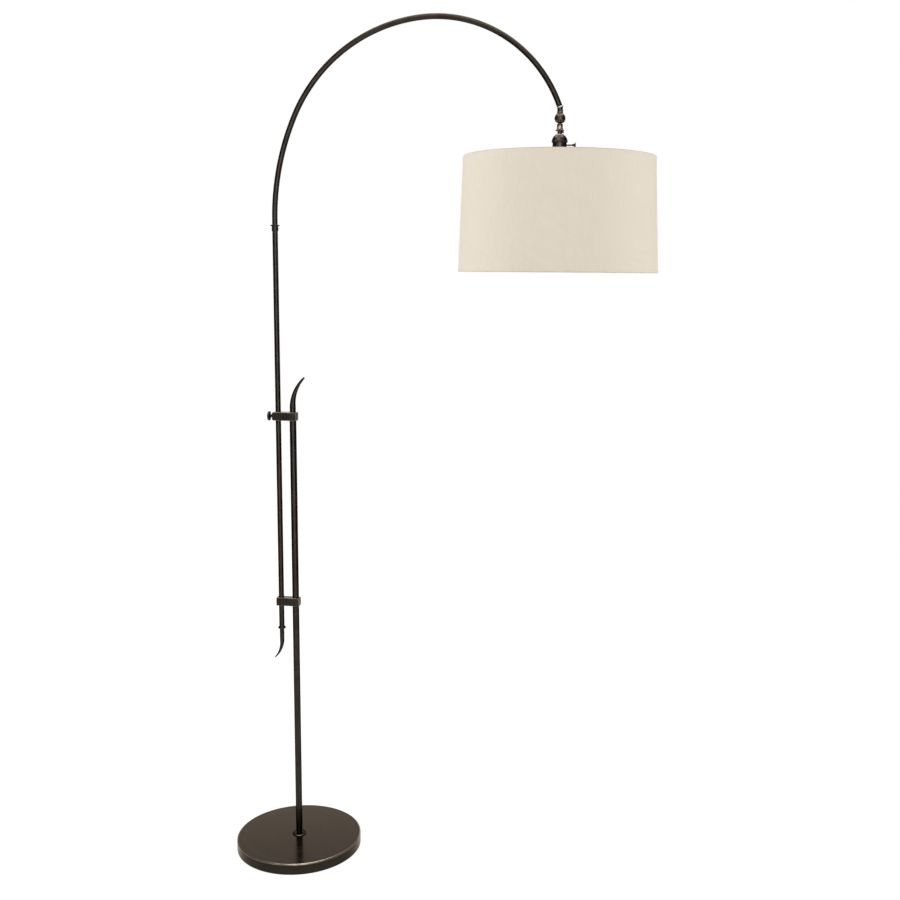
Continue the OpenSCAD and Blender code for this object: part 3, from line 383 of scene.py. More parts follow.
def plain_finish(name, ground, shade, rough, scale=300, depth=0.0001, strength=0.2, sheen=0.0):
    """Plastic, paper, rubber or felt: a speckled ground with a fine surface."""
    material, tree, shader = new_finish(name)
    where = add(tree, "TexCoord").outputs["Object"]
    speck = noise(tree, where, scale, 4, 0.65)
    cloud = noise(tree, where, 30, 4, 0.6)
    tree.links.new(mixed(tree, spread(tree, maths(tree, "ADD", speck, cloud), 0.7, 1.3), ground, shade),
                   shader.inputs["Base Color"])
    tree.links.new(spread(tree, speck, 0.3, 0.7, rough - 0.05, rough + 0.05), shader.inputs["Roughness"])
    bump = add(tree, "Bump", {"Height": speck, "Strength": strength, "Distance": depth})
    tree.links.new(bump.outputs[0], shader.inputs["Normal"])
    shader.inputs["Sheen Weight"].default_value = sheen
    return material


def linen_finish(name, ground, shade, slub_colour, edge_shade_colour):
    """Woven linen on the cloth's own map: threads both ways, uneven in tone, with slubs, and painted shade
    that darkens the cloth within 2 mm of the shade's top and bottom edges.
    """
    material, tree, shader = new_finish(name)
    where = add(tree, "UVMap", uv_map="cloth").outputs["UV"]
    warp = noise(tree, stretched(tree, where, (1300, 18, 1)), 1, 3, 0.6)
    weft = noise(tree, stretched(tree, where, (14, 1400, 1)), 1, 3, 0.6)
    slub = spread(tree, noise(tree, stretched(tree, where, (30, 640, 1)), 1, 2, 0.5), 0.68, 0.78)
    slub_up = spread(tree, noise(tree, stretched(tree, where, (600, 40, 1)), 1, 2, 0.5), 0.7, 0.8)
    slubs = maths(tree, "MAXIMUM", slub, slub_up)
    weave = maths(tree, "MULTIPLY", noise(tree, stretched(tree, where, (1500, 110, 1)), 1, 1, 0.5),
                  noise(tree, stretched(tree, where, (110, 1500, 1)), 1, 1, 0.5))
    uneven = maths(tree, "ADD", maths(tree, "MULTIPLY", warp, 0.8), maths(tree, "MULTIPLY", weft, 1.2))
    streak = noise(tree, stretched(tree, where, (4, 190, 1)), 1, 4, 0.6)
    tone = mixed(tree, spread(tree, uneven, 0.7, 1.3), ground, shade)
    tone = mixed(tree, spread(tree, weave, 0.15, 0.4, 0.1, 0.0), tone, slub_colour)
    tone = mixed(tree, spread(tree, streak, 0.35, 0.7, 0.0, 0.35), tone, shade)
    tone = mixed(tree, maths(tree, "MULTIPLY", slubs, 0.3), tone, slub_colour)
    # Painted shade: the cloth darkens towards the top and bottom edges of the shade.
    height_at = add(tree, "SeparateXYZ", {"Vector": add(tree, "TexCoord").outputs["Object"]}).outputs["Z"]
    top_edge_shade = spread(tree, height_at, (SHADE_TOP - 2.0) * MM, (SHADE_TOP - 0.6) * MM)
    bottom_edge_shade = spread(tree, height_at, (SHADE_BOTTOM + 2.0) * MM, (SHADE_BOTTOM + 0.6) * MM)
    edge_shades = maths(tree, "MULTIPLY", maths(tree, "ADD", top_edge_shade, bottom_edge_shade), 0.75)
    tone = mixed(tree, edge_shades, tone, edge_shade_colour)
    tree.links.new(tone, shader.inputs["Base Color"])
    height = maths(tree, "ADD", maths(tree, "MULTIPLY", weave, 1.5), maths(tree, "MULTIPLY", uneven, 0.5))
    height = maths(tree, "ADD", height, maths(tree, "MULTIPLY", slubs, 0.5))
    bump = add(tree, "Bump", {"Height": height, "Strength": 0.3, "Distance": 0.00025})
    tree.links.new(bump.outputs[0], shader.inputs["Normal"])
    tree.links.new(spread(tree, uneven, 0.7, 1.3, 0.86, 0.95), shader.inputs["Roughness"])
    shader.inputs["Specular IOR Level"].default_value = 0.2
    shader.inputs["Sheen Weight"].default_value = 0.1
    shader.inputs["Sheen Roughness"].default_value = 0.6
    return material


def glass_finish(name, tint):
    """Frosted bulb glass, white inside, with a faint unevenness."""
    material, tree, shader = new_finish(name)
    where = add(tree, "TexCoord").outputs["Object"]
    cloud = noise(tree, where, 80, 3, 0.5)
    tree.links.new(mixed(tree, spread(tree, cloud, 0.3, 0.7), tint, (0.93, 0.93, 0.9, 1)),
                   shader.inputs["Base Color"])
    tree.links.new(spread(tree, cloud, 0.3, 0.7, 0.16, 0.24), shader.inputs["Roughness"])
    shader.inputs["Transmission Weight"].default_value = 0.25
    shader.inputs["IOR"].default_value = 1.47
    shader.inputs["Coat Weight"].default_value = 0.3
    return material


# Bronze: its ground, the warm patches in it, and where it is rubbed
DARK, WARM, RUB = (0.027, 0.0222, 0.018, 1), (0.052, 0.043, 0.0345, 1), (0.3, 0.24, 0.18, 1)
PATCHED = (0.075, 0.062, 0.051, 1)
# Painted highlight: a pale zone on the socket cap's top plate, as (height, share).
PLATE_HIGHLIGHT_BANDS = ((DOME_Z, 0), (CAP_TOP - 2.8, 0), (CAP_TOP - 1.9, 0.9), (CAP_TOP, 0.9))
# Painted highlight: a pale middle on the bell's flare between its dark ends, as (height, share).
BELL_HIGHLIGHT_BANDS = ((BELL_BOTTOM, 0), (BELL_BOTTOM + 2.2, 0.02), (BELL_BOTTOM + 4.4, 0.3), (BELL_BOTTOM + 6.5, 0.9),
              (BELL_BOTTOM + 8.5, 0.8), (BELL_BOTTOM + 10, 0.25), (BELL_TOP - 2.6, 0.2), (BELL_TOP - 1.6, 0))
dark_bronze = bronze_finish("dark_bronze", DARK, WARM, RUB, 0.23)
arch_bronze = bronze_finish("arch_bronze", DARK, WARM, RUB, 0.23, grain=(40, 40, 40))
cap_bronze = bronze_finish("cap_bronze", DARK, PATCHED, RUB, 0.2, mottle=1.0)
disc_bronze = bronze_finish("disc_bronze", (0.0155, 0.0122, 0.0088, 1), (0.0235, 0.0185, 0.0134, 1),
                            (0.4, 0.33, 0.26, 1), 0.19, rub_share=0.55, patches=(0.15, 0.5), spun=True,
                            rim=(0.95, 0.86, 0.78))
bar_bronze = bronze_finish("bar_bronze", (0.024, 0.0195, 0.0153, 1), (0.044, 0.036, 0.028, 1), RUB, 0.26,
                           rub_share=0.8, mottle=0.9, patches=(0.2, 0.5), rim=(1, 1, 1))
# The socket cap's pale top plate is painted highlight.
dome_bronze = bronze_finish("dome_bronze", DARK, PATCHED, (0.6, 0.53, 0.46, 1), 0.2, 0.15, mottle=1.0,
                            painted_highlight_bands=PLATE_HIGHLIGHT_BANDS)
ball_bronze = bronze_finish("ball_bronze", (0.045, 0.036, 0.029, 1), (0.12, 0.098, 0.078, 1), RUB, 0.27,
                            mottle=1.0)
# The end ring's pale tone is painted highlight over its worn bronze.
ring_bronze_highlight = bronze_finish("ring_bronze_highlight", (0.6, 0.54, 0.48, 1), (0.75, 0.69, 0.62, 1), (0.8, 0.74, 0.66, 1),
                            0.32, rim=(0.8, 0.8, 0.8))
# The bell's pale middle is painted highlight.
bell_bronze = bronze_finish("bell_bronze", DARK, (0.06, 0.05, 0.041, 1), (0.6, 0.53, 0.47, 1), 0.22, 0.1,
                            painted_highlight_bands=BELL_HIGHLIGHT_BANDS)
rubbed_bronze = bronze_finish("rubbed_bronze", (0.13, 0.107, 0.087, 1), (0.23, 0.19, 0.155, 1),
                              (0.4, 0.34, 0.28, 1), 0.3)
steel_zinc = metal_finish("steel_zinc", colour(150, 152, 155), colour(186, 188, 190), 0.38)
brass_metal = metal_finish("brass_metal", colour(168, 134, 74), colour(204, 170, 104), 0.32)
cast_iron = plain_finish("cast_iron", colour(58, 58, 60), colour(82, 80, 78), 0.72, 220, 0.0004, 0.5)
felt_cloth = plain_finish("felt_cloth", colour(34, 40, 34), colour(52, 60, 50), 0.95, 700, 0.0005, 0.7, 0.4)
black_nylon = plain_finish("black_nylon", colour(34, 32, 31), colour(46, 43, 41), 0.5)
black_rubber = plain_finish("black_rubber", colour(28, 27, 27), colour(38, 37, 36), 0.7)
white_lining = plain_finish("white_lining", colour(238, 235, 227), colour(246, 244, 238), 0.45, 120, 0.0002,
                            0.1)
fibre_liner = plain_finish("fibre_liner", colour(140, 112, 78), colour(168, 138, 98), 0.85, 400, 0.0002, 0.4)
phenolic = plain_finish("phenolic", colour(30, 26, 25), colour(44, 38, 36), 0.42)
# The last colour is the painted shade at the shade's top and bottom edges.
linen_cloth = linen_finish("linen_cloth", colour(231, 222, 205), colour(224, 213, 196), colour(207, 194, 173),
                           colour(178, 164, 145))
frosted_glass = glass_finish("frosted_glass", (0.88, 0.88, 0.85, 1))

# Base

inner_r, inner_top = BASE_R - COVER_T, BASE_TOP - COVER_T
disc_outline = rounded(BASE_R - RIM_R, BASE_TOP - RIM_R, RIM_R, 90, 0, 8)
disc_outline += [(BASE_R, 20), (BASE_R, 8), (BASE_R, 2.2), (BASE_R - 0.6, FELT_T), (BASE_R - 1.3, FELT_T),
                 (inner_r, 2.2), (inner_r, BASE_TOP - RIM_R), (inner_r - 1.4, inner_top),
                 (STUD_HOLE_R, inner_top)]
disc_outline += [(r, BASE_TOP) for r in (STUD_HOLE_R, 40, 90, 130, 147.5)]
disc = turned("base_disc", disc_outline, steps=192, ring=True)
dress(disc, disc_bronze, "base", "bronze", "base_cover", edge=9)

felt = turned("felt_pad", [(0, 0), (60, 0), (120, 0), (149.8, 0), (150.4, 0.4), (150.5, 0.9), (150.1, 1.5),
                           (120, FELT_T), (60, FELT_T), (0, FELT_T)], steps=144)
dress(felt, felt_cloth, "base", "felt", "base_felt")

flange = turned("foot_flange", [(8.0, BASE_TOP), (15.6, BASE_TOP)] + rounded(15.2, 29.3, 1.3, -70, 60, 6)
                + [(13.6, 30.9), (11.0, 31.0), (9.2, 30.9), (8.0, 30.9)], ring=True)
dress(flange, dark_bronze, "base", "bronze", "pole_collar")

for name, z0, z1, node in (("lower_column", BASE_TOP, LOWER_Z, "lower_pole"),
                           ("upper_column", LOWER_Z + BAR_H, UPPER_Z, "upper_pole")):
    column = turned(name, pipe_outline(POLE_R, POLE_WALL, z0, z1), ring=True)
    dress(column, dark_bronze, "base", "bronze", node)

# Brackets


def bore(piece, r, foot, along, length):
    """Drills a round hole."""
    let_go()
    turn_to = Vector((0, 0, 1)).rotation_difference(Vector(along)).to_euler()
    middle = (Vector(foot) + Vector(along) * length / 2) * MM
    bpy.ops.mesh.primitive_cylinder_add(vertices=64, radius=r * MM, depth=length * MM, location=middle,
                                        rotation=turn_to)
    drill = named("drill")
    modify(piece, "BOOLEAN", object=drill, operation="DIFFERENCE", solver="EXACT")
    bpy.data.objects.remove(drill)


def bracket(name, z, left, right, nose):
    """A square bar with a rounded nose, eased edges and the sleeve's bore."""
    let_go()
    bpy.ops.mesh.primitive_cube_add(size=1, location=((left + right) / 2 * MM, 0, (z + BAR_H / 2) * MM),
                                    scale=((right - left) * MM, BAR_W * MM, BAR_H * MM))
    bar = named(name)
    bpy.ops.object.transform_apply(location=True, rotation=True, scale=True)
    take_up(bar)
    pick("EDGE", lambda e: all(v.co.x < (left + 1) * MM for v in e.verts)
         and abs(e.verts[0].co.z - e.verts[1].co.z) < 1e-6)
    bpy.ops.mesh.bevel(offset=nose * MM, segments=8, affect="EDGES")
    bpy.ops.object.mode_set(mode="OBJECT")
    ease_edges(bar, 0.9, 3, 50)
    bore(bar, LINER_R + 0.06, (TUBE_X, 0, z - 1), (0, 0, 1), BAR_H + 2)
    return bar


lower_bar = bracket("lower_bar", LOWER_Z, TUBE_X - 10, 10.5, 1.2)
dress(lower_bar, bar_bronze, "base", "bronze", "lower_bracket")
upper_bar = bracket("upper_bar", UPPER_Z, TUBE_X - 13, 10.5, 4.5)
bore(upper_bar, 3.06, (TUBE_X, 0, SCREW_Z), (-1, 0, 0), 16)
dress(upper_bar, bar_bronze, "base", "bronze", "upper_bracket")

# Thumb screw: a threaded stem, a hub and a disc, with grip in the half that faces back

screw_outline = [(0, 9.47), (2.3, 9.5)]
for i in range(8):
    screw_outline += [(2.55, 9.9 + i), (2.97, 10.4 + i)]
screw_outline += [(3.0, 17.6), (4.2, 17.7), (4.5, 18.0), (4.5, 20.2), (5.2, 20.5), (9.6, 20.5)]
screw_outline += rounded(9.85, 21.9, 1.4, -80, -20, 4) + [(11.2, 21.9), (11.2, 23.1)]
screw_outline += rounded(9.85, 23.1, 1.4, 20, 80, 4) + [(8.2, 24.2), (3.4, 23.9), (0, 23.8)]
screw = turned("clamp_knob", screw_outline, foot=(TUBE_X, 0, SCREW_Z), along=(-1, 0, 0), steps=72)
knurl(screw, lambda face: face.calc_center_median().y > 0, 0.18, 0.35)
dress(screw, dark_bronze, "clamp_screw", "worn_bronze", "thumb_screw", smooth=30)

# Horns


def horn(name, foot, up, foot_len, r0, r1, bend_r, bend, steps=30):
    """A tapered horn, drawn out of a ring by small spins, each followed by a slight squeeze."""
    foot = Vector(foot)
    let_go()
    bpy.ops.mesh.primitive_circle_add(vertices=48, radius=(r0 - 0.4) * MM, location=foot * MM)
    piece = named(name)
    open_up("SELECT")
    for rise, scale in ((0.4, r0 / (r0 - 0.4)), (foot_len * 0.5, 1), (foot_len * 0.5 - 0.4, 1)):
        bpy.ops.mesh.extrude_region_move(TRANSFORM_OT_translate={"value": (0, 0, up * rise * MM)})
        bpy.ops.transform.resize(value=(scale, scale, scale))
    centre = foot + Vector((up * bend_r, 0, up * foot_len))
    radius = r0
    for i in range(1, steps + 1):
        bpy.ops.mesh.spin(steps=1, angle=-math.radians(bend / steps), center=centre * MM, axis=(0, 1, 0))
        new_radius = r0 + (r1 - r0) * i / steps
        turn_at = math.radians(bend * i / steps)
        middle = centre + Vector((-up * math.cos(turn_at), 0, up * math.sin(turn_at))) * bend_r
        k = new_radius / radius
        bpy.ops.transform.resize(value=(k, k, k), center_override=middle * MM)
        radius = new_radius
    way = Vector((up * math.sin(math.radians(bend)), 0, up * math.cos(math.radians(bend))))
    for i in range(1, 6):
        a0, a1 = math.radians(18 * (i - 1)), math.radians(18 * i)
        step = way * r1 * (math.sin(a1) - math.sin(a0))
        middle += step
        bpy.ops.mesh.extrude_region_move(TRANSFORM_OT_translate={"value": step * MM})
        k = max(math.cos(a1), 0.02) / math.cos(a0)
        bpy.ops.transform.resize(value=(k, k, k), center_override=middle * MM)
    bpy.ops.mesh.merge(type="CENTER")
    close_up()
    return piece


head_horn = horn("head_horn", (0, 0, UPPER_Z + BAR_H), 1, 14.0, 7.2, 2.3, 96.0, 45.0)
dress(head_horn, dark_bronze, "base", "bronze", "pole_finial")
tail_horn = horn("tail_horn", (TUBE_X, 0, BEAD_BOTTOM), -1, 30.0, 5.4, 1.3, 62.0, 45.0)
bore(tail_horn, 2.95, (TUBE_X, 0, BEAD_BOTTOM - 14), (0, 1, 0), 8)
dress(tail_horn, dark_bronze, "arm", "bronze", "tail_finial")

# Arm

TUBE_FOOT = (TUBE_X, 0, 0)
long_tube = turned("long_tube", pipe_outline(TUBE_R, TUBE_WALL, BEAD_TOP, TUBE_TOP), foot=TUBE_FOOT,
                   ring=True)
dress(long_tube, dark_bronze, "arm", "bronze", "slide_tube")
tube_collar = turned("tube_collar", pipe_outline(7.6, 1.2, TUBE_TOP - 12, TUBE_TOP), foot=TUBE_FOOT,
                     ring=True)
dress(tube_collar, dark_bronze, "arm", "bronze", "coupling_collar")
tube_ring = turned("tube_ring", rim_outline(10.8, 4.1, TUBE_TOP, 2.6), foot=TUBE_FOOT, ring=True)
dress(tube_ring, dark_bronze, "arm", "worn_bronze", "coupling_ring")
tail_knob = turned("tail_knob", rim_outline(9.4, 4.1, BEAD_BOTTOM, 5.4), foot=TUBE_FOOT, ring=True)
dress(tail_knob, dark_bronze, "arm", "bronze", "tail_bead")

let_go()
bpy.ops.mesh.primitive_circle_add(vertices=40, radius=TUBE_R * MM, location=(TUBE_X * MM, 0, RING_TOP * MM))
arch = named("arch")
open_up("SELECT")
bpy.ops.mesh.extrude_region_move(TRANSFORM_OT_translate={"value": (0, 0, (ARCH_Z - RING_TOP) * MM)})
for (bend_r, bend_angle), centre in zip(BENDS, bend_centres):
    bpy.ops.mesh.spin(steps=round(bend_angle / 1.5), angle=-math.radians(bend_angle), center=centre * MM,
                      axis=(0, 1, 0))
bpy.ops.mesh.select_all(action="DESELECT")
bpy.ops.mesh.select_non_manifold()
bpy.ops.mesh.fill_holes(sides=0)
close_up()
dress(arch, arch_bronze, "arm", "bronze", "arch_tube")

# Swivel

ring_outline = [(0, 0), (6.5, 0)] + rounded(6.7, 1.2, 1.2, -80, 80, 8) + [(6.5, END_RING_T), (0, END_RING_T)]
arch_ring = turned("arch_ring", ring_outline, foot=arch_end, along=arch_way, steps=72)
dress(arch_ring, ring_bronze_highlight, "arm", "worn_bronze", "end_ring")

# The throat is cut off askew inside the end ring
throat_outline = [(4.0, 0), (5.9, 0), (6.5, 0.5), (6.5, 3.0), (6.1, 3.5), (6.1, 12.0), (4.0, 12.0)]
throat = turned("swivel_throat", throat_outline, foot=(HEAD_X, 0, NECK_BOTTOM), steps=72, ring=True)
take_up(throat)
bpy.ops.mesh.select_all(action="SELECT")
cut_at = arch_end + arch_way * (END_RING_T - 0.3)
bpy.ops.mesh.bisect(plane_co=cut_at * MM, plane_no=-arch_way, clear_outer=True)
close_up()
dress(throat, cap_bronze, "arm", "bronze", "swivel_neck")

band = turned("ball_band", [(6.5, 0.05), (6.9, 0.1), (7.1, 0.4), (7.1, 1.1), (6.9, 1.35), (6.5, 1.4)],
              foot=(HEAD_X, 0, BALL_Z + BALL_R), steps=60, ring=True)
dress(band, rubbed_bronze, "swivel", "worn_bronze")

flare = [(10.0 - 3.5 * math.sin(math.radians(a)), 1.6 + 6.7 * (1 - math.cos(math.radians(a))))
         for a in range(0, 91, 9)]
bell_outline = [(4.05, 0), (9.0, 0)] + rounded(9.3, 0.7, 0.7, -80, 40, 5) + flare[1:]
bell_outline += [(6.5, 11.5), (6.5, 14.2), (6.0, 14.8), (4.05, 14.8)]
bell = turned("bell_skirt", bell_outline, foot=(HEAD_X, 0, BELL_BOTTOM), steps=72, ring=True)
dress(bell, bell_bronze, "head", "worn_bronze", "swivel_bell")
HEAD_FOOT = (HEAD_X, 0, 0)
stem_collar = turned("stem_collar", pipe_outline(5.2, 1.15, CAP_TOP, BELL_BOTTOM), foot=HEAD_FOOT, steps=60,
                     ring=True)
dress(stem_collar, cap_bronze, "head", "bronze", "lock_collar")
stem_outline = [(0, 4.1), (1.1, 4.1), (1.2, 4.3), (1.2, 5.2), (1.7, 5.25), (1.9, 5.5), (1.9, 8.2), (1.6, 8.7),
                (0.5, 8.8), (0.4, 8.4), (0, 8.4)]
stem_screw = turned("stem_screw", stem_outline, foot=(HEAD_X, 0, BELL_BOTTOM - 2.7), along=(1, 0, 0),
                    steps=36)
dress(stem_screw, dark_bronze, "head", "worn_bronze", "lock_screw")

# Lamp holder

dome_top = math.degrees(math.asin((CAP_TOP - 1.5 - DOME_Z) / DOME_R))
dome_outline = [(4.1, CAP_TOP), (8.9, CAP_TOP), (9.4, CAP_TOP - 0.4), (PLATE_R, CAP_TOP - 1.4)]
dome_outline += rounded(0, DOME_Z, DOME_R, dome_top - 0.5, 8, 14) + rounded(16.0, DOME_Z, 2.0, 60, -90, 8)
dome_outline += [(15.8, DOME_Z - 2.0), (15.8, DOME_Z)] + rounded(0, DOME_Z, DOME_INNER_R, 5, 70, 10)
dome_outline += [(4.1, DOME_Z + 15.6)]
dome = turned("holder_dome", dome_outline, foot=HEAD_FOOT, ring=True)
dress(dome, dome_bronze, "head", "bronze", "socket_cap")

shell_outline = [(15.1, SHELL_BOTTOM), (16.0, SHELL_BOTTOM)]
for i in range(6):
    shell_outline += [(16.1, SHELL_BOTTOM + 0.4 + i * 1.5), (16.5, SHELL_BOTTOM + 1.1 + i * 1.5)]
shell_outline += [(16.4, HUB_TOP - 0.1), (19.4, HUB_TOP), (20.0, HUB_TOP + 0.6), (19.4, HUB_TOP + 1.2),
                  (16.6, HUB_TOP + 1.2), (SHELL_R, HUB_TOP + 2.0), (SHELL_R, SHELL_GROOVE),
                  (15.5, SHELL_GROOVE + 0.6), (15.5, SHELL_GROOVE + 1.6), (SHELL_R, SHELL_GROOVE + 2.2),
                  (SHELL_R, SHELL_GROOVE + 18), (SHELL_R, SHELL_GROOVE + 27), (SHELL_R, SHELL_TOP),
                  (15.1, SHELL_TOP)]
shell = turned("holder_shell", shell_outline, foot=HEAD_FOOT, ring=True)
bore(shell, 1.9, (HEAD_X + 10, 0, KEY_Z), (1, 0, 0), 10)
dress(shell, cap_bronze, "head", "bronze", "socket_shell")

key_outline = [(0, 3), (1.5, 3), (1.6, 3.2), (1.6, 17), (1.45, 17.4), (1.45, 18.2), (1.6, 18.6), (1.6, 27.6),
               (1.9, 28.2), (0, 28.2)]
key_stem = turned("key_stem", key_outline, foot=(HEAD_X, 0, KEY_Z), along=(1, 0, 0), steps=36)
dress(key_stem, dark_bronze, "key", "brass", "key_shaft")

# The key's paddle flares out from 2.3 mm at its shaft to 7.5 mm at its end
PADDLE_X, PADDLE_LEN, PADDLE_T = HEAD_X + 28, 8, 2.2
PADDLE_NECK, PADDLE_END = 2.3, 7.5
let_go()
bpy.ops.mesh.primitive_cube_add(size=1, location=((PADDLE_X + PADDLE_LEN / 2) * MM, 0, KEY_Z * MM),
                                scale=(PADDLE_LEN * MM, PADDLE_T * MM, 2 * PADDLE_END * MM))
paddle = named("key_paddle")
bpy.ops.object.transform_apply(location=True, rotation=True, scale=True)
take_up(paddle)
for i in range(1, PADDLE_LEN):
    bpy.ops.mesh.select_all(action="SELECT")
    bpy.ops.mesh.bisect(plane_co=((PADDLE_X + i) * MM, 0, 0), plane_no=(1, 0, 0))
for i in range(PADDLE_LEN + 1):
    column_x = (PADDLE_X + i) * MM
    pick("VERT", lambda v: abs(v.co.x - column_x) < 1e-5)
    half = PADDLE_NECK + (PADDLE_END - PADDLE_NECK) * (1 - math.cos(math.asin(i / PADDLE_LEN)))
    bpy.ops.transform.resize(value=(1, 1, half / PADDLE_END), center_override=(column_x, 0, KEY_Z * MM))
bpy.ops.object.mode_set(mode="OBJECT")
ease_edges(paddle, 0.5, 3, 50)
dress(paddle, dark_bronze, "key", "worn_bronze", "turn_key")

# Shade's frame

# The ring nut, with grip in its foremost faces
nut_outline = [(16.6, 0), (19.8, 0), (20.6, 0.4), (21.3, 1.0), (21.4, 5.0), (20.6, 5.6), (19.8, 6), (16.6, 6)]
nut = turned("shade_nut", nut_outline, foot=(HEAD_X, 0, NUT_BOTTOM), steps=72, ring=True)
knurl(nut, lambda face: face.calc_center_median().y < 0, 0.25, 0.4)
dress(nut, dark_bronze, "head", "bronze", "ring_nut", smooth=30)
hub_outline = [(16.65, 0), (20.4, 0), (21, 0.5), (21, 1.9), (20.4, 2.4), (16.65, 2.4)]
hub = turned("spider_hub", hub_outline, foot=(HEAD_X, 0, HUB_BOTTOM), ring=True)
dress(hub, rubbed_bronze, "head", "worn_bronze", "fitter_hub")

TOP_WIRE_Z, BOTTOM_WIRE_Z = SHADE_TOP - 2.1, SHADE_BOTTOM + 2.1
TOP_WIRE_R = shade_r(TOP_WIRE_Z) - LINING_IN - WIRE_R - 0.15
BOTTOM_WIRE_R = shade_r(BOTTOM_WIRE_Z) - LINING_IN - WIRE_R - 0.35
for name, r, z, node in (("top_hoop", TOP_WIRE_R, TOP_WIRE_Z, "top_wire"),
                         ("bottom_hoop", BOTTOM_WIRE_R, BOTTOM_WIRE_Z, "bottom_wire")):
    hoop = turned(name, rounded(r, z, WIRE_R, 0, 337.5, 15), foot=HEAD_FOOT, steps=144, ring=True)
    dress(hoop, rubbed_bronze, "head", "worn_bronze", node)

# One spider arm is drawn from the hub to the hoop, with a joggle at the hub, and copied round
arm_points = [(20.6, HUB_Z), (24, HUB_Z), (27, HUB_Z + 0.15), (60, HUB_Z + 1.4), (120, HUB_Z + 3.5),
              (190, HUB_Z + 6.1), (TOP_WIRE_R - 4, TOP_WIRE_Z), (TOP_WIRE_R - WIRE_R + 0.2, TOP_WIRE_Z)]
let_go()
bpy.ops.mesh.primitive_circle_add(vertices=20, radius=1.6 * MM, rotation=(0, math.pi / 2, 0),
                                  location=((HEAD_X - arm_points[0][0]) * MM, 0, arm_points[0][1] * MM))
wires = named("spider_wires")
bpy.ops.object.transform_apply(location=True, rotation=True, scale=True)
open_up("SELECT")
for (r0, z0), (r1, z1) in zip(arm_points, arm_points[1:]):
    bpy.ops.mesh.extrude_region_move(TRANSFORM_OT_translate={"value": Vector((r0 - r1, 0, z1 - z0)) * MM})
bpy.ops.mesh.select_all(action="DESELECT")
bpy.ops.mesh.select_non_manifold()
bpy.ops.mesh.fill_holes(sides=0)
bpy.ops.mesh.select_all(action="SELECT")
bpy.ops.mesh.spin(dupli=True, steps=2, angle=math.radians(240), center=(HEAD_X * MM, 0, 0), axis=(0, 0, 1))
close_up()
dress(wires, rubbed_bronze, "head", "worn_bronze", "spider_arms")

# Shade


CLOTH_R, FOLD_RUN = 0.22, 0.6


def lay_cloth(piece):
    """Maps the cloth in metres, round the shade from the seam at the back, and up. A fold runs on inwards."""
    layer = piece.data.uv_layers.new(name="cloth")
    for face in piece.data.polygons:
        turns = []
        for loop in face.loop_indices:
            co = piece.data.vertices[piece.data.loops[loop].vertex_index].co
            turns.append(math.atan2(co.x - HEAD_X * MM, co.y) / (2 * math.pi) + 0.5)
        wraps = max(turns) - min(turns) > 0.5
        for loop, turn_at in zip(face.loop_indices, turns):
            co = piece.data.vertices[piece.data.loops[loop].vertex_index].co
            across = math.hypot(co.x - HEAD_X * MM, co.y)
            turn_at += 1 if wraps and turn_at < 0.5 else 0
            layer.data[loop].uv = (turn_at * 2 * math.pi * CLOTH_R, co.z + FOLD_RUN * (CLOTH_R - across))


def shade_wall(name, outer, inner, z0, z1, rows, steps):
    """A conical wall between two insets from the shade's outline."""
    heights = [z0 + (z1 - z0) * i / rows for i in range(rows + 1)]
    outline = [(shade_r(z) - outer, z) for z in heights]
    outline += [(shade_r(z) - inner, z) for z in reversed(heights)]
    return turned(name, outline, foot=HEAD_FOOT, steps=steps, ring=True)


linen = shade_wall("linen_wall", CLOTH_OUT, CLOTH_OUT + CLOTH_T, SHADE_BOTTOM + 1.2, SHADE_TOP - 1.2, 12, 180)
take_up(linen)
pick("FACE", lambda f: f.calc_center_median().y > 0.2 and abs(f.calc_center_median().x / MM - HEAD_X) < 8
     and f.normal.y > 0.5)
bpy.ops.mesh.extrude_region_shrink_fatten(TRANSFORM_OT_shrink_fatten={"value": -0.45 * MM})
bpy.ops.object.mode_set(mode="OBJECT")
lay_cloth(linen)
dress(linen, linen_cloth, "head", "linen", "shade_linen")

# The hems, as (depth, inset) outside and (depth, distance from the wire's centre) round the wire
HEM_OUTSIDE = ((HEM_H, 0.55), (HEM_H - 0.35, 0.12), (HEM_H - 1.4, 0.02), (2.4, 0.02), (1.2, 0.12),
               (0.5, 0.45), (0.1, 1.0))
HEM_INSIDE = ((0.02, 0.3), (0.25, -1.0), (1.2, -1.9), (2.3, -2.1), (3.6, -1.8), (4.3, -0.6), (4.4, 1.4))
for name, edge, way, wire_r in (("top_hem", SHADE_TOP, -1, TOP_WIRE_R),
                                ("bottom_hem", SHADE_BOTTOM, 1, BOTTOM_WIRE_R)):
    outline = [(shade_r(edge + way * depth) - inset, edge + way * depth) for depth, inset in HEM_OUTSIDE]
    outline += [(wire_r + distance, edge + way * depth) for depth, distance in HEM_INSIDE]
    hem = turned(name, outline, foot=HEAD_FOOT, steps=180, ring=True)
    lay_cloth(hem)
    dress(hem, linen_cloth, "head", "linen")

lining = shade_wall("lining_wall", LINING_OUT, LINING_IN, SHADE_BOTTOM + 0.6, SHADE_TOP - 0.6, 6, 144)
dress(lining, white_lining, "head", "lining", "shade_lining")

# Bulb

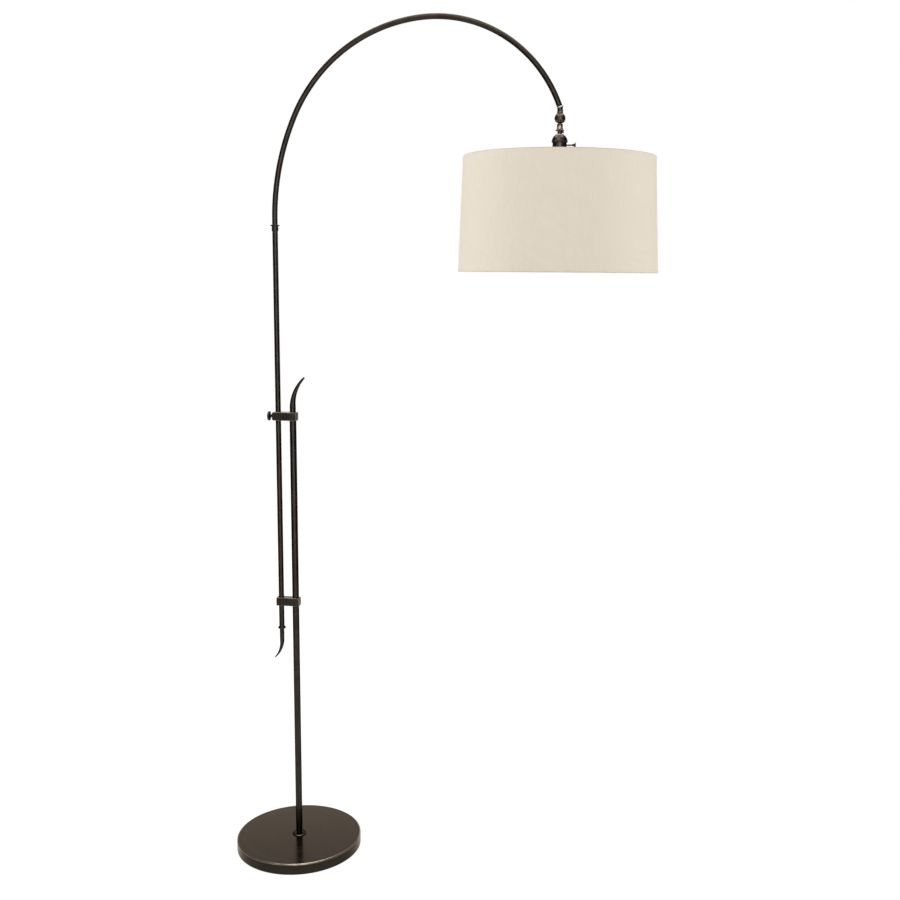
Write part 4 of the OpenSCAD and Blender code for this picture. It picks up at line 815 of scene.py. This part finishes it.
cap_outline = [(0, BULB_CAP_BOTTOM), (12.6, BULB_CAP_BOTTOM), (12.8, BULB_CAP_BOTTOM + 1)]
for i in range(6):
    cap_outline += [(12.3, BULB_CAP_BOTTOM + 2.2 + i * 2.4), (13.0, BULB_CAP_BOTTOM + 3.4 + i * 2.4)]
cap_outline += [(12.2, BULB_CAP_BOTTOM + 17), (5.9, BULB_CAP_TOP), (0, BULB_CAP_TOP)]
bulb_screw = turned("bulb_screw", cap_outline, foot=HEAD_FOOT)
dress(bulb_screw, steel_zinc, "head", "brass", "bulb_cap")
bulb_tip = turned("bulb_tip", [(0, 0), (4.0, 0), (4.0, 0.7), (3.2, 1.3), (1.6, 1.6), (0, 1.6)],
                  foot=(HEAD_X, 0, BULB_CAP_TOP), steps=48)
dress(bulb_tip, steel_zinc, "head", "zinc", "bulb_contact")
globe_outline = [(0, GLOBE_Z - GLOBE_R)] + rounded(0, GLOBE_Z, GLOBE_R, -90, 22, 24)[1:]
globe_outline += [(25.4, GLOBE_Z + 17), (21.6, GLOBE_Z + 27), (17.8, GLOBE_Z + 38), (15, GLOBE_Z + 48),
                  (13.3, GLOBE_Z + 57), (12.75, BULB_CAP_BOTTOM - 1.5), (12.6, BULB_CAP_BOTTOM),
                  (0, BULB_CAP_BOTTOM)]
globe = turned("bulb_glass", globe_outline, foot=HEAD_FOOT)
dress(globe, frosted_glass, "head", "glass", "bulb_globe")

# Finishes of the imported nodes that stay

STAYING = {
    ball_bronze: ["swivel_ball", "swivel_cover"],
    dark_bronze: ["tilt_pins"],
    rubbed_bronze: ["swivel_knuckle"],
    cast_iron: ["base_weight"],
    steel_zinc: ["base_stud", "base_washer", "base_nut", "mid_nipple", "top_nipple", "coupling_nipple",
                 "tail_nipple", "swivel_clip"],
    brass_metal: ["pole_plugs", "arm_plugs", "screw_pad", "screw_shell", "centre_contact"],
    black_nylon: ["lower_liner", "upper_liner"],
    black_rubber: ["cord_bushing"],
    fibre_liner: ["socket_liner"],
    phenolic: ["switch_body"],
}
for material, nodes in STAYING.items():
    for node in nodes:
        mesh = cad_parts[node].data
        mesh.materials.clear()
        mesh.materials.append(material)

# Floor, light and camera


def rays_in_sight(tree, path, gloss=1.0):
    """Share of the rays that see the stage: those of the camera and of glass, and a share of the gloss."""
    in_gloss = maths(tree, "MULTIPLY", path.outputs["Is Glossy Ray"], gloss)
    in_sight = maths(tree, "MAXIMUM", path.outputs["Is Camera Ray"], in_gloss)
    return maths(tree, "MAXIMUM", in_sight, path.outputs["Is Transmission Ray"])


FLOOR_SIZE, FLOOR_GLOW, GLOW_SHARE, FLOOR_IN_GLOSS = 60, 1.14, 0.8, 0.45
let_go()
bpy.ops.mesh.primitive_plane_add(size=1)
floor = named("studio_floor")
take_up(floor)
bpy.ops.mesh.select_all(action="SELECT")
bpy.ops.transform.resize(value=(FLOOR_SIZE, FLOOR_SIZE, 1))
bpy.ops.object.mode_set(mode="OBJECT")
paper, tree, shader = new_finish("studio_paper")
shader.inputs["Base Color"].default_value = (0.93, 0.93, 0.93, 1)
shader.inputs["Roughness"].default_value = 0.9
shader.inputs["Specular IOR Level"].default_value = 0.1
seen = rays_in_sight(tree, add(tree, "LightPath"), FLOOR_IN_GLOSS)
glow = add(tree, "Emission", {"Color": (1, 1, 1, 1), "Strength": FLOOR_GLOW})
glowing = maths(tree, "MULTIPLY", seen, GLOW_SHARE)
blend = add(tree, "MixShader", {0: glowing, 1: shader.outputs[0], 2: glow.outputs[0]})
tree.links.new(blend.outputs[0], tree.nodes["Material Output"].inputs["Surface"])
floor.data.materials.append(paper)

WORLD_LIGHT = 0.43
world = bpy.data.worlds.new("studio")
bpy.context.scene.world = world
world.use_nodes = True
tree = world.node_tree
back = tree.nodes["Background"]
back.inputs["Color"].default_value = (1, 1, 1, 1)
path = add(tree, "LightPath")
brightness = spread(tree, rays_in_sight(tree, path), 0, 1, WORLD_LIGHT, 1.0)
# Metal sees a sky of three zones, by the sine of their height: bright, darker, and bright again overhead
way_up = add(tree, "SeparateXYZ", {"Vector": add(tree, "TexCoord").outputs["Generated"]}).outputs["Z"]
low_sky = spread(tree, way_up, 0.3, 0.4, 1.0, 1.5)
high_sky = spread(tree, way_up, 0.43, 0.49, 1.0, 0.36)
top_sky = spread(tree, way_up, 0.62, 0.8, 1.0, 2.4)
sky = maths(tree, "MULTIPLY", maths(tree, "MULTIPLY", low_sky, high_sky), top_sky)
sky_in_gloss = spread(tree, path.outputs["Is Glossy Ray"], 0, 1, 1.0, sky)
tree.links.new(maths(tree, "MULTIPLY", brightness, sky_in_gloss), back.inputs["Strength"])


def softbox(name, place, look_at, width, height, power, lights=True, shines=True):
    """A soft lamp. Without shine it isn't seen in metal, and without light it is seen only there."""
    light = bpy.data.lights.new(name, "AREA")
    light.shape, light.size, light.size_y, light.energy = "RECTANGLE", width, height, power
    lamp = bpy.data.objects.new(name, light)
    bpy.context.scene.collection.objects.link(lamp)
    way = Vector(look_at) - Vector(place)
    lamp.matrix_world = Matrix.Translation(place) @ way.to_track_quat("-Z", "Y").to_matrix().to_4x4()
    lamp.visible_diffuse, lamp.visible_glossy = lights, shines


LAMP_MIDDLE = (0.35, 0, 1.15)
softbox("left_softbox", (-3.9, -2.25, 2.2), LAMP_MIDDLE, 2, 3.6, 118, shines=False)
softbox("right_softbox", (5.3, -1.57, 2.2), LAMP_MIDDLE, 2, 3.6, 116, shines=False)
softbox("back_softbox", (0.3, 3.0, 2.1), (0.35, 0, 1.2), 1.6, 1.8, 40, shines=False)
softbox("top_softbox", (0.2, -1.6, 3.4), (0.2, 0, 0.6), 1.6, 0.7, 10)
softbox("front_screen", (1.1, -3.0, 1.3), (0.2, 0, 1.1), 1.5, 2.6, 23, lights=False)
softbox("top_screen", (0.3, 0.5, 3.7), (0.3, 0.1, 1.2), 2.8, 1.7, 68, lights=False)


FLAG_BOTTOM, FLAG_TOP = 0.02, 2.8


def grey_flag(name, near, far):
    """A tall grey card beside the lamp, out of sight, that gives polished metal its dark sides."""
    let_go()
    heading = math.atan2(far[1] - near[1], far[0] - near[0])
    middle = ((near[0] + far[0]) / 2, (near[1] + far[1]) / 2, (FLAG_BOTTOM + FLAG_TOP) / 2)
    bpy.ops.mesh.primitive_plane_add(size=1, rotation=(math.pi / 2, 0, heading), location=middle)
    card = named(name)
    card.scale = (math.dist(near, far), FLAG_TOP - FLAG_BOTTOM, 1)
    bpy.ops.object.transform_apply(location=True, rotation=True, scale=True)
    card.data.materials.append(flag_cloth)
    card.visible_camera = card.visible_diffuse = False
    card.visible_shadow = card.visible_transmission = False


flag_cloth = plain_finish("flag_cloth", (0.12, 0.12, 0.12, 1), (0.15, 0.15, 0.15, 1), 0.9)
grey_flag("left_flag", (-1.1, -1.8), (-1.5, 1.87))
grey_flag("right_flag", (1.95, -1.35), (1.5, 2.87))

# The camera, fitted to the photograph: its turn, place, focal length and the picture's centre in pixels
HEADING, PITCH, ROLL = math.radians(8.3), math.radians(7.97), math.radians(0.47)
EYE = (0.8423, -2.5734, 1.425)
FOCAL_PX, PICTURE_PX, CENTRE_X_PX, CENTRE_Y_PX = 1130.9, 900, 487.0, 430.3
SENSOR = 36
ahead = Vector((-math.sin(HEADING) * math.cos(PITCH), math.cos(HEADING) * math.cos(PITCH), -math.sin(PITCH)))
level = Vector((math.cos(HEADING), math.sin(HEADING), 0))
upright = level.cross(ahead)
right_way = level * math.cos(ROLL) + upright * math.sin(ROLL)
up_way = upright * math.cos(ROLL) - level * math.sin(ROLL)
lens = bpy.data.cameras.new("camera")
lens.sensor_width = SENSOR
lens.lens = SENSOR * FOCAL_PX / PICTURE_PX
lens.shift_x = (PICTURE_PX / 2 - CENTRE_X_PX) / PICTURE_PX
lens.shift_y = (CENTRE_Y_PX - PICTURE_PX / 2) / PICTURE_PX
camera = bpy.data.objects.new("camera", lens)
bpy.context.scene.collection.objects.link(camera)
turn_to = Matrix((right_way, up_way, -ahead)).transposed().to_4x4()
camera.matrix_world = Matrix.Translation(EYE) @ turn_to
bpy.context.scene.camera = camera
bpy.context.scene.view_settings.view_transform = "Standard"

bpy.context.view_layer.update()
